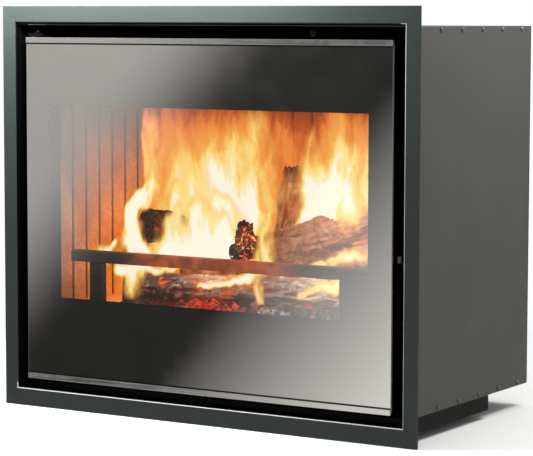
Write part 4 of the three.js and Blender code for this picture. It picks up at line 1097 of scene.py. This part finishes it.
# each sheet: its depth, how far its sides bow back, its window in picture points, its tongues, a seed, its
# brightness, how golden it is, and the step of its grid in picture points
FLAMES = {
    "flame_glow": (0.15, 0.0, (126, 92, 384, 262), GLOW_FIRE, 69, 1.06, 0.0, 2.0),
    "flame_main": (0.05, 0.03, (112, 96, 320, 264), MAIN_FIRE, 21, 1.1, 0.7, 1.5),
    "flame_veil": (0.1, 0.0, (120, 90, 190, 240), VEIL_FIRE, 75, 1.08, 0.15, 1.5),
    "flame_core": (0.03, 0.02, (112, 96, 300, 264), CORE_FIRE, 27, 1.12, 1.0, 1.5),
    "flame_tongues": (-0.055, 0.0, (92, 104, 300, 266), SIDE_TONGUES, 33, 1.12, 0.8, 1.5),
    "flame_front": (-0.045, 0.0, (136, 150, 266, 268), FRONT_FIRE, 39, 1.12, 1.0, 1.5),
    "flame_right": (0.06, 0.0, (286, 98, 386, 262), RIGHT_FIRE, 45, 1.12, 0.8, 1.5),
    "flame_low": (-0.08, 0.0, (100, 246, 386, 318), LOW_FIRE, 57, 1.1, 0.8, 1.2),
}
for flame_name, flame in FLAMES.items():
    flame_sheet(flame_name, *flame)


# ---- light and floor
def lamp(name, kind, where, power, colour=(1, 1, 1), size=0.5, depth=None, aim=None, glossy=True):
    data = bpy.data.lights.new(name, kind)
    data.energy = power
    data.color = colour
    if kind == "AREA":
        data.shape = "RECTANGLE"
        data.size, data.size_y = size, depth or size
    else:
        data.shadow_soft_size = size
    made = bpy.data.objects.new(name, data)
    scene.collection.objects.link(made)
    made.location = where
    if aim is not None:
        made.rotation_mode = "QUATERNION"
        made.rotation_quaternion = (Vector(aim) - Vector(where)).to_track_quat("-Z", "Y")
    made.visible_glossy = glossy
    made.visible_camera = False


lamp("key", "AREA", (-0.2, -0.3, 0.745), 21, size=0.72, depth=0.06, aim=(-0.2, -0.15, 0.7), glossy=False)
lamp("rim", "AREA", (-1.05, -0.37, 1.28), 5.6, size=0.6, aim=(-0.1, -0.15, 0.1))
lamp("side", "AREA", (0.64, 0.25, 0.86), 3.9, size=0.3, aim=(0.32, 0.1, 0.5))
lamp("top", "AREA", (0.2, 0.2, 2.4), 26, size=2.0, aim=(0, 0, 0.3))
WARM = (1.0, 0.34, 0.08)
lamp("fire_core", "POINT", (-0.04, -0.02, 0.22), 0.8, WARM, size=0.05, glossy=False)
lamp("fire_low", "POINT", (0.03, -0.075, 0.19), 0.14, WARM, size=0.03, glossy=False)
lamp("fire_right", "POINT", (0.19, 0.03, 0.33), 1.3, (1.0, 0.6, 0.36), size=0.04, glossy=False)



def sheet(name, points, faces, material, hidden_from):
    """A sheet of the studio, hidden from the named kinds of ray."""
    data = bpy.data.meshes.new(name)
    data.from_pydata([tuple(p) for p in points], [], faces)
    data.materials.append(material)
    made = bpy.data.objects.new(name, data)
    scene.collection.objects.link(made)
    for ray in hidden_from:
        setattr(made, "visible_" + ray, False)
    return made


# what the mirror sees: a pale room with one broad soft shadow across it. The card spans CARD_SIZE
# picture points from CARD_START on, and fades out beyond the share CARD_SOLID
CARD_Y = -1.2
CARD_START, CARD_SIZE, CARD_SOLID = -60, (620, 560), 0.75
CARD_COLS, CARD_ROWS = 49, 43
SHADOW_SLANT, SHADOW_START = (0.851, 0.674), 30
SHADE = 0.023
LEFT_LEVEL, LEFT_EDGE = 0.55, (112, 239)
RIGHT_LEVEL, RIGHT_EDGE = 1.0, (364, 572)


def mirrored(px, py):
    """Brightness of what is mirrored at a point of the picture."""
    across = SHADOW_SLANT[0] * px + SHADOW_SLANT[1] * py - SHADOW_START
    left = 1 - fade(across, *LEFT_EDGE)
    right = (across - RIGHT_EDGE[0]) / (RIGHT_EDGE[1] - RIGHT_EDGE[0])
    return SHADE + LEFT_LEVEL * left + RIGHT_LEVEL * clipped(right)


def reflection_card():
    """The card stands where the mirror image of the camera sees it through the glass."""
    far = Vector((EYE.x, 2 * GLASS_FRONT - EYE.y, EYE.z))
    span = (CARD_Y - far.y) / (GLASS_FRONT - far.y)
    cols, rows = CARD_COLS, CARD_ROWS
    points, glow, hide, faces = [], [], [], []
    for i in range(rows):
        for j in range(cols):
            u, v = j / (cols - 1), i / (rows - 1)
            px, py = CARD_START + CARD_SIZE[0] * u, CARD_START + CARD_SIZE[1] * v
            points.append(far + (seen_at(px, py, GLASS_FRONT) - far) * span)
            glow.append(float(mirrored(px, py)))
            beyond = np.hypot(*(max(0, abs(2 * w - 1) - CARD_SOLID) for w in (u, v)))
            hide.append(float(fade(-beyond, CARD_SOLID - 1, 0)))
            if i and j:
                faces.append(((i - 1) * cols + j - 1, i * cols + j - 1, i * cols + j, (i - 1) * cols + j))
    g = Graph("card_light")
    light = g.node(
        "ShaderNodeEmission", {"Color": (1.0, 0.985, 0.965), "Strength": g.attribute("glow")}
    ).outputs[0]
    open_air = g.node("ShaderNodeBsdfTransparent").outputs[0]
    both = g.either(g.attribute("hide"), open_air, light)
    g.show(both)
    g.material.cycles.emission_sampling = "NONE"
    hidden = ("camera", "diffuse", "transmission", "volume_scatter", "shadow")
    card = sheet("card", points, faces, g.material, hidden)
    set_attribute(card, "glow", glow)
    set_attribute(card, "hide", hide)


reflection_card()


FLAG_LEFT, FLAG_RIGHT, FLAG_RISE, FLAG_GAP = -0.7, 0.3, 0.16, 0.001


def studio_flag():
    """A black flag behind the frame's upper edge that keeps the key lamp off the casing's top."""
    low, high = CASING_HIGH.z + FLAG_GAP, cad_high.z + FLAG_RISE
    corners = [(FLAG_LEFT, low), (FLAG_RIGHT, low), (FLAG_RIGHT, high), (FLAG_LEFT, high)]
    points = [(x, FRAME_BACK + FLAG_GAP, z) for x, z in corners]
    g = Graph("flag_cloth")
    weave = g.noise(900, 2)
    g.principled(Base_Color=g.mix(weave, (0.004, 0.004, 0.004), (0.01, 0.01, 0.01)), Roughness=1.0)
    hidden = ("camera", "diffuse", "glossy", "transmission", "volume_scatter")
    flag = sheet("flag", points, [(0, 1, 2, 3)], g.material, hidden)


studio_flag()


FLOOR_REACH, FLOOR_LEVEL = 14, cad_low.z - 0.0005


def studio_floor():
    """A pale floor that keeps the shadow and fades into the white room."""
    corners = [(-1, -1), (1, -1), (1, 1), (-1, 1)]
    points = [(x * FLOOR_REACH, y * FLOOR_REACH, FLOOR_LEVEL) for x, y in corners]
    g = Graph("floor_pale")
    flat = g.scaled((1, 1, 0))
    distance = g.node("ShaderNodeVectorMath", {0: flat}, operation="LENGTH").outputs["Value"]
    far = g.stretch(distance, 0.45, 1.3, smooth=True)
    soft = g.node("ShaderNodeBsdfDiffuse", {"Color": (0.9, 0.9, 0.895)}).outputs[0]
    white = g.node("ShaderNodeEmission", {"Color": (1, 1, 1), "Strength": 1.0}).outputs[0]
    both = g.either(far, soft, white)
    g.show(both)
    g.material.cycles.emission_sampling = "NONE"
    floor = sheet("floor", points, [(0, 1, 2, 3)], g.material, ["glossy"])


studio_floor()

world = bpy.data.worlds.new("studio")
scene.world = world
world.use_nodes = True
tree = world.node_tree
tree.nodes.clear()
path, shown, lit, pick, end = (
    tree.nodes.new("ShaderNode" + kind)
    for kind in ("LightPath", "Background", "Background", "MixShader", "OutputWorld")
)
shown.inputs[0].default_value = (1, 1, 1, 1)
shown.inputs[1].default_value = 1.0
lit.inputs[0].default_value = (1.0, 0.99, 0.975, 1)
lit.inputs[1].default_value = 0.5
tree.links.new(path.outputs["Is Camera Ray"], pick.inputs[0])
tree.links.new(lit.outputs[0], pick.inputs[1])
tree.links.new(shown.outputs[0], pick.inputs[2])
tree.links.new(pick.outputs[0], end.inputs[0])
scene.view_settings.view_transform = "Standard"
